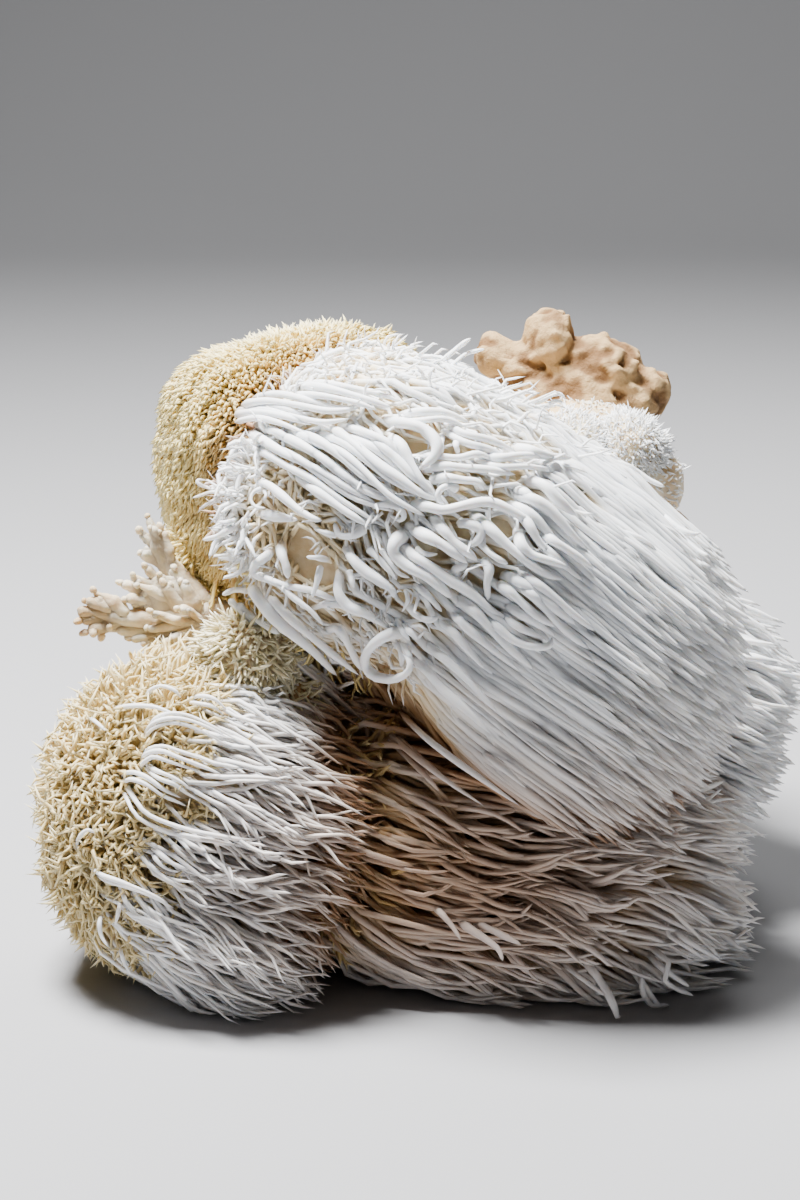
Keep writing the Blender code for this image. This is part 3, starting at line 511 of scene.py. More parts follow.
def on_skin(lobe, marks, near_end=400, far_end=620, step=0.12):
    """Places of marks in the picture: across, down, and millimetres over the lobe's skin.

    A mark lies where its line of sight first comes as near to the skin as its height, or, where the line
    passes the lobe by, at its nearest.
    """
    marks = np.asarray(marks, float)
    look = np.array((0, math.cos(VIEW_TILT), -math.sin(VIEW_TILT)))
    up = np.array((0, math.sin(VIEW_TILT), math.cos(VIEW_TILT)))
    slope = (marks[:, :2] - PICTURE / 2) / (PICTURE[1] * LENS / SENSOR)
    sight = unit(look + slope[:, :1] * (1, 0, 0) - slope[:, 1:] * up)
    run = np.arange(near_end, far_end, step)
    track = VIEW_TARGET - look * VIEW_DISTANCE + sight[:, None] * run[:, None]
    over = over_skin(lobe, track) - marks[:, 2:]
    at = np.where((over < 0).any(axis=1), np.argmax(over < 0, axis=1), np.argmin(over, axis=1))
    return track[np.arange(len(marks)), at]


def flesh_normal(lobe, ways, nudge=0.02):
    """The flesh's outward normal: each way, less how fast the distance grows across it."""
    first, second = across(ways)
    reach = flesh_distance(lobe, ways)
    slope = np.zeros_like(ways)
    for side in (first, second):
        ahead = flesh_distance(lobe, unit(ways + nudge * side))
        behind = flesh_distance(lobe, unit(ways - nudge * side))
        slope += ((ahead - behind) / (2 * nudge) / reach)[..., None] * side
    return unit(ways - slope)


def push_out(points, home, lift):
    """Move points out of their own lobe's flesh, plus a lift, and clear of the other lobes and floor."""
    for lobe in LOBES:
        ways, far = from_centre(lobe, points)
        wanted = flesh_distance(lobe, ways) + (lift if lobe is home else 1.0)
        short = np.maximum(wanted - far, 0)
        points = points + ways * short[..., None]
    points[..., 2] = np.maximum(points[..., 2], FLOOR_AIR + 0.6)
    return points


def sunk_in(lobe, points):
    """0 at the skin of a lobe's mat and 1 at its flesh."""
    ways, far = from_centre(lobe, points)
    return np.clip((skin_distance(lobe, ways) - far) / mat_depth(lobe, ways), 0, 1)


def near(points, spots):
    """1 at the middle of a spot, fading as exp(-(distance / radius)^2)."""
    off = [((points - np.array(spot[:3])) ** 2).sum(-1) / spot[3] ** 2 for spot in spots]
    return np.exp(-np.min(off, axis=0))


def painted_shade_share(home, points):
    """How much shade is painted: 1 deep between lobes and 0 out in the open, by how near another lobe's skin or the dim
    hollow is.
    """
    others = [over_skin(lobe, points) for lobe in LOBES if lobe is not home]
    near = 1 - smooth(0.0, 13.0, np.min(others, axis=0))
    off = (points - PAINTED_SHADE_CENTRE) / PAINTED_SHADE_SIZE
    return np.maximum(near, np.exp(-(off * off).sum(-1)))


# Spines


def part_round(lines, lobe):
    """Lead lines round the oval gaps, as water runs round stones.

    Near a gap each line's distance sideways b becomes sqrt(b^2 + w^2), where w is the oval's half width
    at that place along the hang; the whole line keeps to the side where it passes the gap's middle.
    """
    along = unit(lobe.hang)
    sizes = [(long / PIXELS_A_MM, wide / PIXELS_A_MM) for _, _, long, wide in GAPS]
    centres = on_skin(lobe, [(across, down, 0) for across, down, _, _ in GAPS])
    for centre, (long, wide) in zip(centres, sizes):
        out = unit(centre - heart(lobe))
        side = unit(np.cross(out, along))
        ahead = unit(np.cross(side, out))
        rel = lines - centre
        a, b, depth = rel @ ahead / long, rel @ side, rel @ out
        oval = wide * np.sqrt(np.maximum(1 - a * a, 0)) * (np.abs(depth) < 12)
        middle = np.argmin(np.abs(a), axis=1)
        keep_to = np.where(b[np.arange(len(b)), middle] < 0, -1.0, 1.0)[:, None]
        moved = keep_to * np.sqrt(b * b + (1.15 * oval) ** 2)
        lines = lines + np.where(oval > 0, moved - b, 0)[..., None] * side
    return lines


def flow_together(lines, locks, rng):
    """Draw spines into locks: each leans to its nearest leader's line, more and more to the tip."""
    size, hold = locks
    leaders = rng.choice(len(lines), max(len(lines) // size, 1), replace=False)
    roots = lines[:, 0]
    apart = np.linalg.norm(roots[:, None] - roots[None, leaders], axis=-1)
    lead = lines[leaders[np.argmin(apart, axis=1)]]
    share = hold * smooth(0.15, 1.1, np.linspace(0, 1, lines.shape[1]))
    return lines + share[:, None] * (lead - lines)


def spine_lines(lobe, growth, roots, outs, rng):
    """Centre lines of spines, marched out from their roots.

    Each starts between its flesh's normal and the hang, turns a little further to the hang at every
    step, and is pushed out wherever it would sink into flesh. It is cut where it has stood out far
    enough past the skin. Locks, waves square to the line and a curl at the tip are added last.
    """
    count, fine = len(roots), MARCH_STEPS
    drift = np.stack([ripple(roots, 34.0, growth.seed + k) for k in range(3)], axis=-1)
    own = rng.normal(0, 1, (count, 3))
    aims = unit(unit(lobe.hang) + growth.stray * (0.6 * drift + 0.6 * own))
    lengths = rng.uniform(*growth.length, count)
    mats = mat_depth(lobe, from_centre(lobe, roots)[0])
    shares = rng.uniform(*growth.lift, count)
    if growth.layered:
        back = smooth(0.9, -0.4, outs @ unit(lobe.hang))
        low, high = growth.lift
        shares = low + (high - low) * np.clip(0.8 * back + 0.3 * rng.uniform(-0.5, 1, count), 0, 1)
    step = (lengths / fine)[:, None]
    place = roots + outs * (growth.start * mats - 0.8)[:, None]
    heads = unit(growth.lean * outs + (1 - growth.lean) * aims + 0.3 * growth.stray * own)
    stops = rng.uniform(*growth.stand, count)
    track = [place]
    ends = np.full(count, float(fine))
    for k in range(1, fine + 1):
        heads = unit(heads + growth.turn * (aims - heads))
        ahead = place + heads * step
        ways, far = from_centre(lobe, ahead)
        rise = shares * mat_depth(lobe, ways) * smooth(0, 0.25 * fine, k)
        ahead = push_out(ahead, lobe, rise)
        far = np.linalg.norm(ahead - heart(lobe), axis=-1)
        faces_hang = ways @ unit(lobe.hang)
        above = np.maximum(far - flesh_distance(lobe, ways) - rise, 0)
        ahead = ahead - ways * (growth.hug * (1 - smooth(0.1, 0.7, faces_hang)) * above)[:, None]
        heads = unit(ahead - place)
        place = ahead
        track.append(place)
        free = (faces_hang > 0) | (growth.hug == 0)
        reach = stops + growth.drop * smooth(0.1, 0.7, -ways[:, 2])
        past = free & (over_skin(lobe, place) > reach) & (k > 4) & (ends == fine)
        ends = np.where(past, float(k), ends)
    track = np.stack(track, axis=1)
    along_line = 1 - (1 - np.linspace(0, 1, growth.rings + 1)) ** 1.25
    spot = ends[:, None] * along_line
    low = np.minimum(spot.astype(int), fine - 1)
    part = (spot - low)[..., None]
    rows = np.arange(count)[:, None]
    lines = track[rows, low] * (1 - part) + track[rows, low + 1] * part
    lines = flow_together(lines, growth.locks, rng)
    real = np.linalg.norm(lines[:, -1] - lines[:, 0], axis=-1)
    first, second = across(unit(lines[:, -1] - lines[:, 0]))
    height, stretch = growth.sway
    phase = rng.uniform(0, 2 * np.pi, (2, count, 1))
    swing = 2 * np.pi * real[:, None] * along_line / stretch
    fade = smooth(0, 0.3, along_line)
    for side, start in zip((first, second), phase):
        lines = lines + side[:, None] * (height * fade * np.sin(swing + start))[..., None]
    tip_turn = growth.curl * real[:, None] * smooth(0.5, 1.0, along_line) ** 2
    for side, much in zip((first, second), rng.uniform(-1, 1, (2, count, 1))):
        lines = lines + side[:, None] * (much * tip_turn)[..., None]
    if lobe is FRONT:
        lines = part_round(lines, lobe)
    lines[..., 2] = np.maximum(lines[..., 2], FLOOR_AIR + 0.6)
    return lines, along_line


def taper(along_line, radii):
    """Radius along spines: flared at the root, nearly even along the middle, and drawn to a point."""
    flare = 1 + 0.45 * np.exp(-along_line / 0.06)
    body = (1 - 0.15 * along_line) * np.maximum(1 - along_line**5, 0) ** 0.6
    return radii[:, None] * flare * body


def sweep(lines, radii, sides):
    """Tubes round many lines at once, each ring carried along its line without twist.

    The last point of a line is the tube's tip; the others are centres of rings, whose points lie at
    centre + r cos(a) first + r sin(a) second. Gives the points and the faces, in rows of equal size.
    """
    count, rings = lines.shape[0], lines.shape[1] - 1
    heads = unit(np.gradient(lines, axis=1))
    first, _ = across(heads[:, 0])
    firsts = [first]
    for k in range(1, rings):
        first = unit(first - (first * heads[:, k]).sum(-1, keepdims=True) * heads[:, k])
        firsts.append(first)
    first = np.stack(firsts, axis=1)
    second = np.cross(heads[:, :rings], first)
    angle = 2 * np.pi * np.arange(sides) / sides
    ring = first[:, :, None] * np.cos(angle)[:, None] + second[:, :, None] * np.sin(angle)[:, None]
    points = lines[:, :rings, None] + radii[:, :rings, None, None] * ring
    points = np.concatenate([points.reshape(count, rings * sides, 3), lines[:, -1:]], axis=1)
    quads = grid_faces(rings, sides)
    last, s = (rings - 1) * sides, np.arange(sides)
    tips = np.stack([last + s, last + (s + 1) % sides, np.full(sides, rings * sides)], axis=-1)
    root = s[None, ::-1]
    start = (np.arange(count) * (rings * sides + 1))[:, None, None]
    faces = [(start + part[None]).reshape(-1, part.shape[1]) for part in (quads, tips, root)]
    return points.reshape(-1, 3), faces


def grid_faces(rows, columns, closed=True):
    """Four-cornered faces of a grid of points, row after row; closed joins the last column to the first."""
    k, s = np.meshgrid(np.arange(rows - 1), np.arange(columns - (not closed)), indexing="ij")
    t = (s + 1) % columns
    return np.stack([k * columns + s, k * columns + t, (k + 1) * columns + t, (k + 1) * columns + s], axis=-1).reshape(-1, 4)


def put_mesh(name, points, faces, values=None, look=None):
    """A mesh object from points in millimetres, rows of faces, and values for its points."""
    mesh = bpy.data.meshes.new(name)
    sizes = np.concatenate([np.full(len(part), part.shape[1]) for part in faces])
    corners = np.concatenate([part.ravel() for part in faces]).astype(np.int32)
    mesh.vertices.add(len(points))
    mesh.vertices.foreach_set("co", (points * MM).astype(np.float32).ravel())
    mesh.loops.add(len(corners))
    mesh.loops.foreach_set("vertex_index", corners)
    mesh.polygons.add(len(sizes))
    mesh.polygons.foreach_set("loop_start", np.concatenate([[0], np.cumsum(sizes)[:-1]]).astype(np.int32))
    mesh.polygons.foreach_set("loop_total", sizes.astype(np.int32))
    mesh.update(calc_edges=True)
    mesh.validate()
    mesh.shade_smooth()
    for label, data in (values or {}).items():
        layer = mesh.attributes.new(label, "FLOAT", "POINT")
        layer.data.foreach_set("value", np.asarray(data, np.float32).ravel())
    if look:
        mesh.materials.append(look)
    thing = bpy.data.objects.new(name, mesh)
    bpy.context.scene.collection.objects.link(thing)
    return thing


def in_stem(points):
    """Whether points lie inside the trunk: nearer to its line than nine tenths of its radius there."""
    line = curve(STEM_LINE, 60) + STAND
    radii = np.interp(np.linspace(0, 1, 60), np.linspace(0, 1, len(STEM_RADII)), STEM_RADII)
    off = np.linalg.norm(points[:, None] - line, axis=-1)
    return (off < 0.9 * radii).any(axis=1)


def roots_on(lobe, growth, rng, density=None):
    """Roots over a lobe's flesh, kept by how the flesh faces and clear of the other lobes' flesh."""
    side, over, back, fore = lobe.half
    ways = even_ways(growth.roots) + rng.normal(0, 0.35 / math.sqrt(growth.roots), (growth.roots, 3))
    sizes = np.stack([np.full(growth.roots, side), np.full(growth.roots, over),
                      np.where(ways[:, 2] < 0, back, fore)], axis=-1)
    ways = unit(ways * sizes) @ hang_frame(lobe)
    outs = flesh_normal(lobe, ways)
    roots = heart(lobe) + ways * flesh_distance(lobe, ways)[:, None]
    facing = outs @ unit(lobe.hang) + 0.12 * ripple(roots, 16.0, 77) + rng.normal(0, 0.05, len(roots))
    low, high = growth.facing
    keep = (facing > low) & (facing < high) & (roots[:, 2] > 0.6)
    for other in LOBES:
        if other is not lobe:
            others, far = from_centre(other, roots)
            keep &= far > flesh_distance(other, others) + 0.5 * mat_depth(other, others)
    keep &= ~in_stem(roots)
    if density is not None:
        keep &= rng.uniform(0, 1, len(roots)) < density(roots)
    return roots[keep], outs[keep]


def tell(name, count, faces):
    """Print what a piece holds."""
    print(name, count, "spines", sum(len(part) * (part.shape[1] - 2) for part in faces), "triangles")


def stray_lines(rings=16):
    """The lines of the spines with a shape of their own, their radii, and the numbers of their lobes.

    Where several lie side by side, each further one is the first line moved over the skin by about two
    radii, a little lower, shifted along itself and waved in its own way.
    """
    rng = np.random.default_rng(9)
    lines, radii, homes = [], [], []
    for lobe, radius, count, marks in STRAYS:
        places = on_skin(lobe, marks)
        across, down, height = marks[0]
        if height <= 0:
            ways, _ = from_centre(lobe, places[:1])
            deep = (skin_distance(lobe, ways) - flesh_distance(lobe, ways))[0] + 0.4
            places[:1] = on_skin(lobe, [(across, down, min(height, -min(deep, ROOT_SINK)))])
        for k in range(count):
            line = curve(places, rings + 1)
            if k:
                heads = unit(np.gradient(line, axis=0))
                outs = unit(line - heart(lobe))
                side = unit(np.cross(heads, outs))
                t = np.linspace(0, 1, rings + 1)[:, None]
                far = radius * (2.1 + rng.uniform(-0.2, 0.6)) * ((k + 1) // 2) * (1 if k % 2 else -1)
                wave = 0.25 * far * np.sin(rng.uniform(3, 6) * t + rng.uniform(0, 6))
                shift = rng.uniform(-2.5, 2.5)
                line = line + side * (far + wave) + heads * shift - outs * rng.uniform(0.2, 0.9)
            lines.append(line)
            radii.append(radius * (1 - 0.12 * (k > 0)))
            homes.append(LOBES.index(lobe))
    lines = np.stack(lines)
    lines[..., 2] = np.maximum(lines[..., 2], FLOOR_AIR + 0.6)
    return lines, np.array(radii), np.array(homes)


def kept_clear(lobe, lines, width, rng):
    """Which lines stay: not those that run along under a spine of its own shape or over the bare underside."""
    own_ways, _ = from_centre(lobe, OWN_LINES[OWN_HOMES == LOBES.index(lobe)].reshape(-1, 3))
    ways, far = from_centre(lobe, lines)
    nearest = np.arccos(np.clip((ways.reshape(-1, 3) @ own_ways.T).max(-1), -1, 1)).reshape(far.shape)
    under = (nearest * far < width).mean(-1) > 0.45
    bare = rng.uniform(0, 1, len(lines)) < 0.95 * near(lines, UNDERSIDE)[:, 3:].max(-1)
    return ~(under | bare)


def spines(name, lobe, growth, look, density=None):
    """One piece: all the spines of one kind on one lobe."""
    rng = np.random.default_rng(growth.seed)
    roots, outs = roots_on(lobe, growth, rng, density)
    lines, along_line = spine_lines(lobe, growth, roots, outs, rng)
    if growth.clear:
        lines = lines[kept_clear(lobe, lines, growth.clear, rng)]
    roots = lines[:, 0]
    radii = rng.uniform(*growth.radius, len(roots))
    points, faces = sweep(lines, taper(along_line[None, :], radii), growth.sides)
    each = growth.rings * growth.sides + 1
    # The values carry a painted warm shade between lobes and under the front lobe, and how deep in the mat each point
    # lies, which paints shade there too
    values = {
        "along": np.tile(np.append(np.repeat(along_line[:-1], growth.sides), 1.0), len(roots)),
        "tone": np.repeat(rng.uniform(0, 1, len(roots)), each),
        "painted_shade": painted_shade_share(lobe, points),
        "deep": sunk_in(lobe, points),
    }
    tell(name, len(roots), faces)
    return put_mesh(name, points, faces, values, look)


def stray_spines(name, look, sides=8):
    """One piece: the spines with a shape of their own, their thickness in slow waves."""
    count, rings = OWN_LINES.shape[0], OWN_LINES.shape[1] - 1
    t = np.linspace(0, 1, rings + 1)[None, :]
    rng = np.random.default_rng(8)
    waves = 1 + 0.13 * np.sin(rng.uniform(6, 14, (count, 1)) * t + rng.uniform(0, 6, (count, 1)))
    rounded = 1 - 0.8 * np.exp(-((t / 0.03) ** 2))
    points, faces = sweep(OWN_LINES, taper(t, OWN_RADII) * waves * rounded, sides)
    painted_shade, deep = np.zeros(len(points)), np.zeros(len(points))
    # Painted warm shade between lobes and under the front lobe, and painted shade deep in the mat, lobe by lobe
    for number, lobe in enumerate(LOBES):
        here = np.repeat(OWN_HOMES == number, rings * sides + 1)
        painted_shade[here] = 0.8 * painted_shade_share(lobe, points[here])
        deep[here] = 0.6 * sunk_in(lobe, points[here])
    values = {
        "along": np.tile(np.append(np.repeat(0.15 + 0.85 * t[0, :-1], sides), 1.0), count),
        "tone": np.full(len(points), 0.2),
        "painted_shade": painted_shade,
        "deep": deep,
    }
    tell(name, count, faces)
    return put_mesh(name, points, faces, values, look)


# Materials


class Wire:
    """A shader socket that Python sums act on: each sum adds one Math node."""

    def __init__(self, tree, socket):
        self.tree, self.socket = tree, socket

    def sum(self, kind, first, second=None):
        """A Math node of one kind on two values."""
        node = self.tree.nodes.new("ShaderNodeMath")
        node.operation = kind
        for socket, value in zip(node.inputs, (first, second)):
            if isinstance(value, Wire):
                self.tree.links.new(value.socket, socket)
            elif value is not None:
                socket.default_value = value
        return Wire(self.tree, node.outputs[0])

    def __add__(self, other):
        return self.sum("ADD", self, other)

    def __radd__(self, other):
        return self.sum("ADD", other, self)

    def __sub__(self, other):
        return self.sum("SUBTRACT", self, other)

    def __rsub__(self, other):
        return self.sum("SUBTRACT", other, self)

    def __mul__(self, other):
        return self.sum("MULTIPLY", self, other)

    def __rmul__(self, other):
        return self.sum("MULTIPLY", other, self)

    def __pow__(self, other):
        return self.sum("POWER", self, other)


class Finish:
    """A material in the making: a Principled shader and the nodes that feed it."""

    def __init__(self, name, constants):
        self.material = bpy.data.materials.new(name)
        self.material.use_nodes = True
        self.tree = self.material.node_tree
        self.shader = self.tree.nodes["Principled BSDF"]
        for label, value in constants.items():
            self.shader.inputs[label].default_value = value

    def node(self, kind, settings, inputs, output=0):
        """Any other node: its type, its settings, and the values or wires of its sockets."""
        node = self.tree.nodes.new("ShaderNode" + kind)
        for label, value in settings.items():
            setattr(node, label, value)
        for label, value in inputs.items():
            if isinstance(value, Wire):
                self.tree.links.new(value.socket, node.inputs[label])
            else:
                node.inputs[label].default_value = value
        return Wire(self.tree, node.outputs[output])

    def value(self, name):
        """A value that the mesh carries."""
        return self.node("Attribute", {"attribute_name": name}, {}, output=2)

    def noise(self, size, detail=3.0, roughness=0.55):
        """Noise on the object's own coordinates, with swirls about size millimetres wide."""
        place = self.node("TexCoord", {}, {}, output=3)
        values = {"Vector": place, "Scale": 1 / (size * MM), "Detail": detail, "Roughness": roughness}
        return self.node("TexNoise", {}, values)

    def mix(self, share, first, second):
        """A colour between two."""
        return self.node("Mix", {"data_type": "RGBA"}, {0: share, 6: first, 7: second}, output=2)

    def ease(self, value, low, high):
        """0 below low, 1 above high and smooth between."""
        values = {"Value": value, "From Min": low, "From Max": high}
        return self.node("MapRange", {"interpolation_type": "SMOOTHSTEP"}, values)

    def feed(self, wires):
        """Wires into the shader."""
        for label, wire in wires.items():
            self.tree.links.new(wire.socket, self.shader.inputs[label])
        return self.material


def rgb(red, green, blue):
    """A colour for a socket."""
    return (red, green, blue, 1.0)


def glow(weight, scale, reds=(1.0, 0.85, 0.7)):
    """Constants that let light through soft flesh."""
    return {"Subsurface Weight": weight, "Subsurface Scale": scale * MM, "Subsurface Radius": reds}


def spine_finish(name, root, body, tip, shade, painted_shade):
    """Waxy spines: tinted at the root, clean along the body, painted with a warm shade between lobes and under the
    front lobe, and with the root's tan as painted shade deep in the mat.
    """
    made = Finish(name, {**glow(0.5, 1.0), "Specular IOR Level": 0.35})
    along, tone = made.value("along"), made.value("tone")
    blotch = made.noise(5.0)
    clean = made.ease(along + 0.25 * (blotch - 0.5), 0.0, 0.25)
    colour = made.mix(clean, root, body)
    colour = made.mix(made.ease(along, 0.75, 1.0) * 0.6, colour, tip)
    colour = made.mix((tone**2.0) * 0.55, colour, shade)
    # Painted shade: spines deep in the mat take the root's tan, for the warm shade among the strands
    colour = made.mix(made.ease(made.value("deep") + 0.3 * (blotch - 0.5), 0.1, 0.85) * 0.9, colour, root)
    # Painted shade: a warm dark brown where the spines lie between lobes or under the front lobe
    colour = made.mix(made.value("painted_shade") * 0.92, colour, painted_shade)
    return made.feed({"Base Color": colour, "Roughness": 0.38 + 0.25 * blotch})


def flesh_finish(name, pale, deep, patch_size=9.0):
    """Spongy flesh: two tans in soft patches, browner where the piece says so, pitted by fine bumps; on the lobes the
    brown is painted shade.
    """
    made = Finish(name, {**glow(0.35, 3.0, (1.0, 0.68, 0.38)), "Specular IOR Level": 0.25})
    patch = made.ease(made.noise(patch_size), 0.35, 0.65)
    colour = made.mix(patch, pale, deep)
    colour = made.mix(made.value("brown"), colour, rgb(0.42, 0.25, 0.12))
    height = made.noise(1.6, 5.0, 0.6)
    bump = made.node("Bump", {}, {"Strength": 0.5, "Distance": 0.8 * MM, "Height": height})
    return made.feed({"Base Color": colour, "Roughness": 0.5 + 0.2 * height, "Normal": bump})


def crust_finish(name):
    """Dry crust: peachy tan on the crests, brown in the creases, greyer and paler where it was cut."""
    made = Finish(name, {**glow(0.08, 2.0, (1.0, 0.5, 0.25)), "Specular IOR Level": 0.2})
    crease = made.value("crease")
    blotch = made.noise(4.0, 5.0, 0.6)
    colour = made.mix(made.ease(crease + 0.6 * (blotch - 0.5), 0.2, 0.8), rgb(0.47, 0.31, 0.15), rgb(0.19, 0.10, 0.04))
    colour = made.mix(made.value("cut"), colour, rgb(0.62, 0.50, 0.33))
    grit = made.noise(1.1, 6.0, 0.65)
    bump = made.node("Bump", {}, {"Strength": 0.7, "Distance": 1.0 * MM, "Height": grit})
    return made.feed({"Base Color": colour, "Roughness": 0.65 + 0.2 * grit, "Normal": bump})


# Fleshy pieces


def globe(sectors, rings):
    """Directions over a sphere in rings from pole to pole, the two poles last, and its faces."""
    tilt, turn = np.meshgrid(np.pi * np.arange(1, rings) / rings, 2 * np.pi * np.arange(sectors) / sectors, indexing="ij")
    ways = np.stack([np.sin(tilt) * np.cos(turn), np.sin(tilt) * np.sin(turn), np.cos(tilt)], axis=-1)
    ways = np.concatenate([ways.reshape(-1, 3), [[0, 0, 1.0], [0, 0, -1.0]]])
    s, last, top = np.arange(sectors), (rings - 2) * sectors, (rings - 1) * sectors
    first_cap = np.stack([s, (s + 1) % sectors, np.full(sectors, top)], axis=-1)
    last_cap = np.stack([last + (s + 1) % sectors, last + s, np.full(sectors, top + 1)], axis=-1)
    return ways, [grid_faces(rings - 1, sectors)[:, ::-1], first_cap, last_cap]


def flesh(name, lobe, look, sectors, rings):
    """The lump of flesh under a lobe's mat: a globe set at the flesh's distance."""
    ways, faces = globe(sectors, rings)
    ways = ways @ hang_frame(lobe)
    points = heart(lobe) + ways * flesh_distance(lobe, ways)[:, None]
    points[:, 2] = np.maximum(points[:, 2], FLOOR_AIR)
    # Painted shade: the flesh turns brown between lobes, in its hollows and, on the front lobe, at its bare underside
    brown = 0.7 * painted_shade_share(lobe, points) + HOLLOW_PAINTED_SHADE * (1 - dents(ways, lobe.sunk))
    if lobe is FRONT:
        brown = brown + near(points, UNDERSIDE)
    return put_mesh(name, points, faces, {"brown": np.minimum(brown, 1)}, look)


def knob_field(points, knobs, sharpness=4.0):
    """Above 1 inside blended knobs: the sum over knobs of exp(k (1 - q^2)), q the distance in half sizes."""
    total = np.zeros(points.shape[:-1])
    for centre, half in knobs:
        off = (points - (np.asarray(centre) + STAND)) / np.asarray(half, float)
        total = total + np.exp(np.minimum(sharpness * (1 - (off * off).sum(-1)), 20))
    return total


def foot(name, look, sectors=220, rings=130):
    """The lumpy crust: the outermost shell of blended, wrinkled knobs seen from its middle, cut flat behind."""
    ways, faces = globe(sectors, rings)
    middle = np.array((36.0, 62.0, 95.0)) + STAND
    reach = np.linspace(0, 32, 97)
    points = middle + ways[:, None] * reach[:, None]
    field = knob_field(points, FOOT_KNOBS)
    field = np.log(field) + 1.2 * ripple(points, 7.5, 5) + 0.7 * ripple(points, 3.6, 6)
    inside = field > 0
    at = reach.size - 2 - np.argmax(inside[:, -2::-1], axis=1)
    rows = np.arange(len(ways))
    here, there = field[rows, at], field[rows, at + 1]
    share = np.clip(here / np.maximum(here - there, 1e-6), 0, 1)
    far = reach[at] + share * (reach[1] - reach[0])
    normal = unit(CUT_NORMAL)
    wall = ((np.asarray(CUT_POINT) + STAND - middle) @ normal) / np.maximum(ways @ normal, 1e-3)
    cut = far > wall
    points = middle + ways * np.minimum(far, wall)[:, None]
    crease = 0.5 - 0.6 * ripple(points, 7.5, 5) - 0.4 * ripple(points, 3.6, 6)
    return put_mesh(name, points, faces, {"crease": crease, "cut": cut.astype(float)}, look)


def tube(line, radii, rings, sides, lumps=0.0, seed=1):
    """One closed tube round a smooth line, with its radius rippled by lumps and rounded over at its ends.

    The rings crowd to both ends, where the radius falls as the quarter of a circle does.
    """
    place = 0.5 - 0.5 * np.cos(np.linspace(0.02, np.pi - 0.02, rings))
    fine = curve(line, 200)
    run = np.concatenate([[0], np.cumsum(np.linalg.norm(np.diff(fine, axis=0), axis=1))])
    centres = np.stack([np.interp(place * run[-1], run, fine[:, k]) for k in range(3)], axis=-1)
    wide = np.interp(place, np.linspace(0, 1, len(radii)), radii)
    left = np.minimum(place, 1 - place) * run[-1] / wide
    wide = wide * np.sqrt(1 - (1 - np.clip(left, 0, 1)) ** 2)
    heads = unit(np.gradient(centres, axis=0))
    level = unit(np.cross(heads, np.eye(3)[np.argmin(np.abs(heads).max(0))]))
    rise = np.cross(heads, level)
    angle = 2 * np.pi * np.arange(sides) / sides
    ring = level[:, None] * np.cos(angle)[:, None] + rise[:, None] * np.sin(angle)[:, None]
    points = centres[:, None] + wide[:, None, None] * ring
    wrinkle = ripple(points, 7.0, seed) + 0.6 * ripple(points, 2.8, seed + 1)
    points = points + ring * (lumps * np.minimum(wide, 4)[:, None] * wrinkle)[..., None]
    s = np.arange(sides)
    faces = [grid_faces(rings, sides), s[None, ::-1], (s + (rings - 1) * sides)[None]]
    return points.reshape(-1, 3) + STAND, faces


def joined(parts):
    """Several closed shapes as one: points and rows of faces."""
    points, faces, start = [], [], 0
    for some, rows in parts:
        points.append(some)
        faces += [row + start for row in rows]
        start += len(some)
    return np.concatenate(points), faces


def knob_skin(number, ways):
    """Where the skin of one of the trunk's knobs lies along each way from its middle: a lumpy ball."""
    centre, radius, _ = STEM_KNOBS[number]
    reach = radius * (1 + 0.09 * ripple(ways, 1.6, 40 + number) + 0.05 * ripple(ways, 0.6, 41 + number))
    return np.asarray(centre) + STAND + ways * reach[:, None]


def stem(name, look):
    """The trunk and neck: a lumpy tube through the clump, and the round knobs on it."""
    parts = [tube(STEM_LINE, STEM_RADII, 70, 72, 0.15, 3)]
    ways, faces = globe(40, 26)
    parts += [(knob_skin(k, ways), faces) for k in range(len(STEM_KNOBS))]
    browns = [0.1] + [brown for _, _, brown in STEM_KNOBS]
    brown = np.concatenate([np.full(len(some), share) for (some, _), share in zip(parts, browns)])
    points, faces = joined(parts)
    return put_mesh(name, points, faces, {"brown": brown}, look)


def sprout(name, look):
    """The sprout: a coral of wrinkled ribs that fan out of two stalks and end in small ragged teeth."""
    rng = np.random.default_rng(61)
    parts = [tube(line, np.linspace(root, tip, 6), 44, 24, 0.16, k)
             for k, (line, root, tip) in enumerate(SPROUT_STALKS)]
    for start, wide, tips in SPROUT_FORKS:
        for tip in np.asarray(tips, float):
            way = tip - start
            bow = start + 0.5 * way + rng.normal(0, 0.5, 3)
            parts.append(tube((start, bow, tip), (wide, wide, 0.9), 26, 14, 0.3, len(parts)))
            for share in (0.7, 0.85, 0.97):
                aside = unit(unit(way) + rng.normal(0, 0.7, 3) * (1, 0.5, 1))
                root = start + share * way
                length = rng.uniform(1.0, 2.0)
                parts.append(tube((root, root + 0.6 * length * aside, root + length * aside),
                                  (0.8, 0.7, 0.5), 10, 8, 0.2, len(parts)))
    ways, faces = globe(40, 26)
    lumps = 1 + 0.12 * ripple(ways, 1.2, 90) + 0.07 * ripple(ways, 0.45, 91)
    centre, half = (np.array(row) for row in SPROUT_WEB)
    parts.append((centre + STAND + ways * half * lumps[:, None], faces))
    points, faces = joined(parts)
    tips = smooth(-50, -60, points[:, 0] - STAND[0])
    return put_mesh(name, points, faces, {"brown": 0.5 * tips}, look)


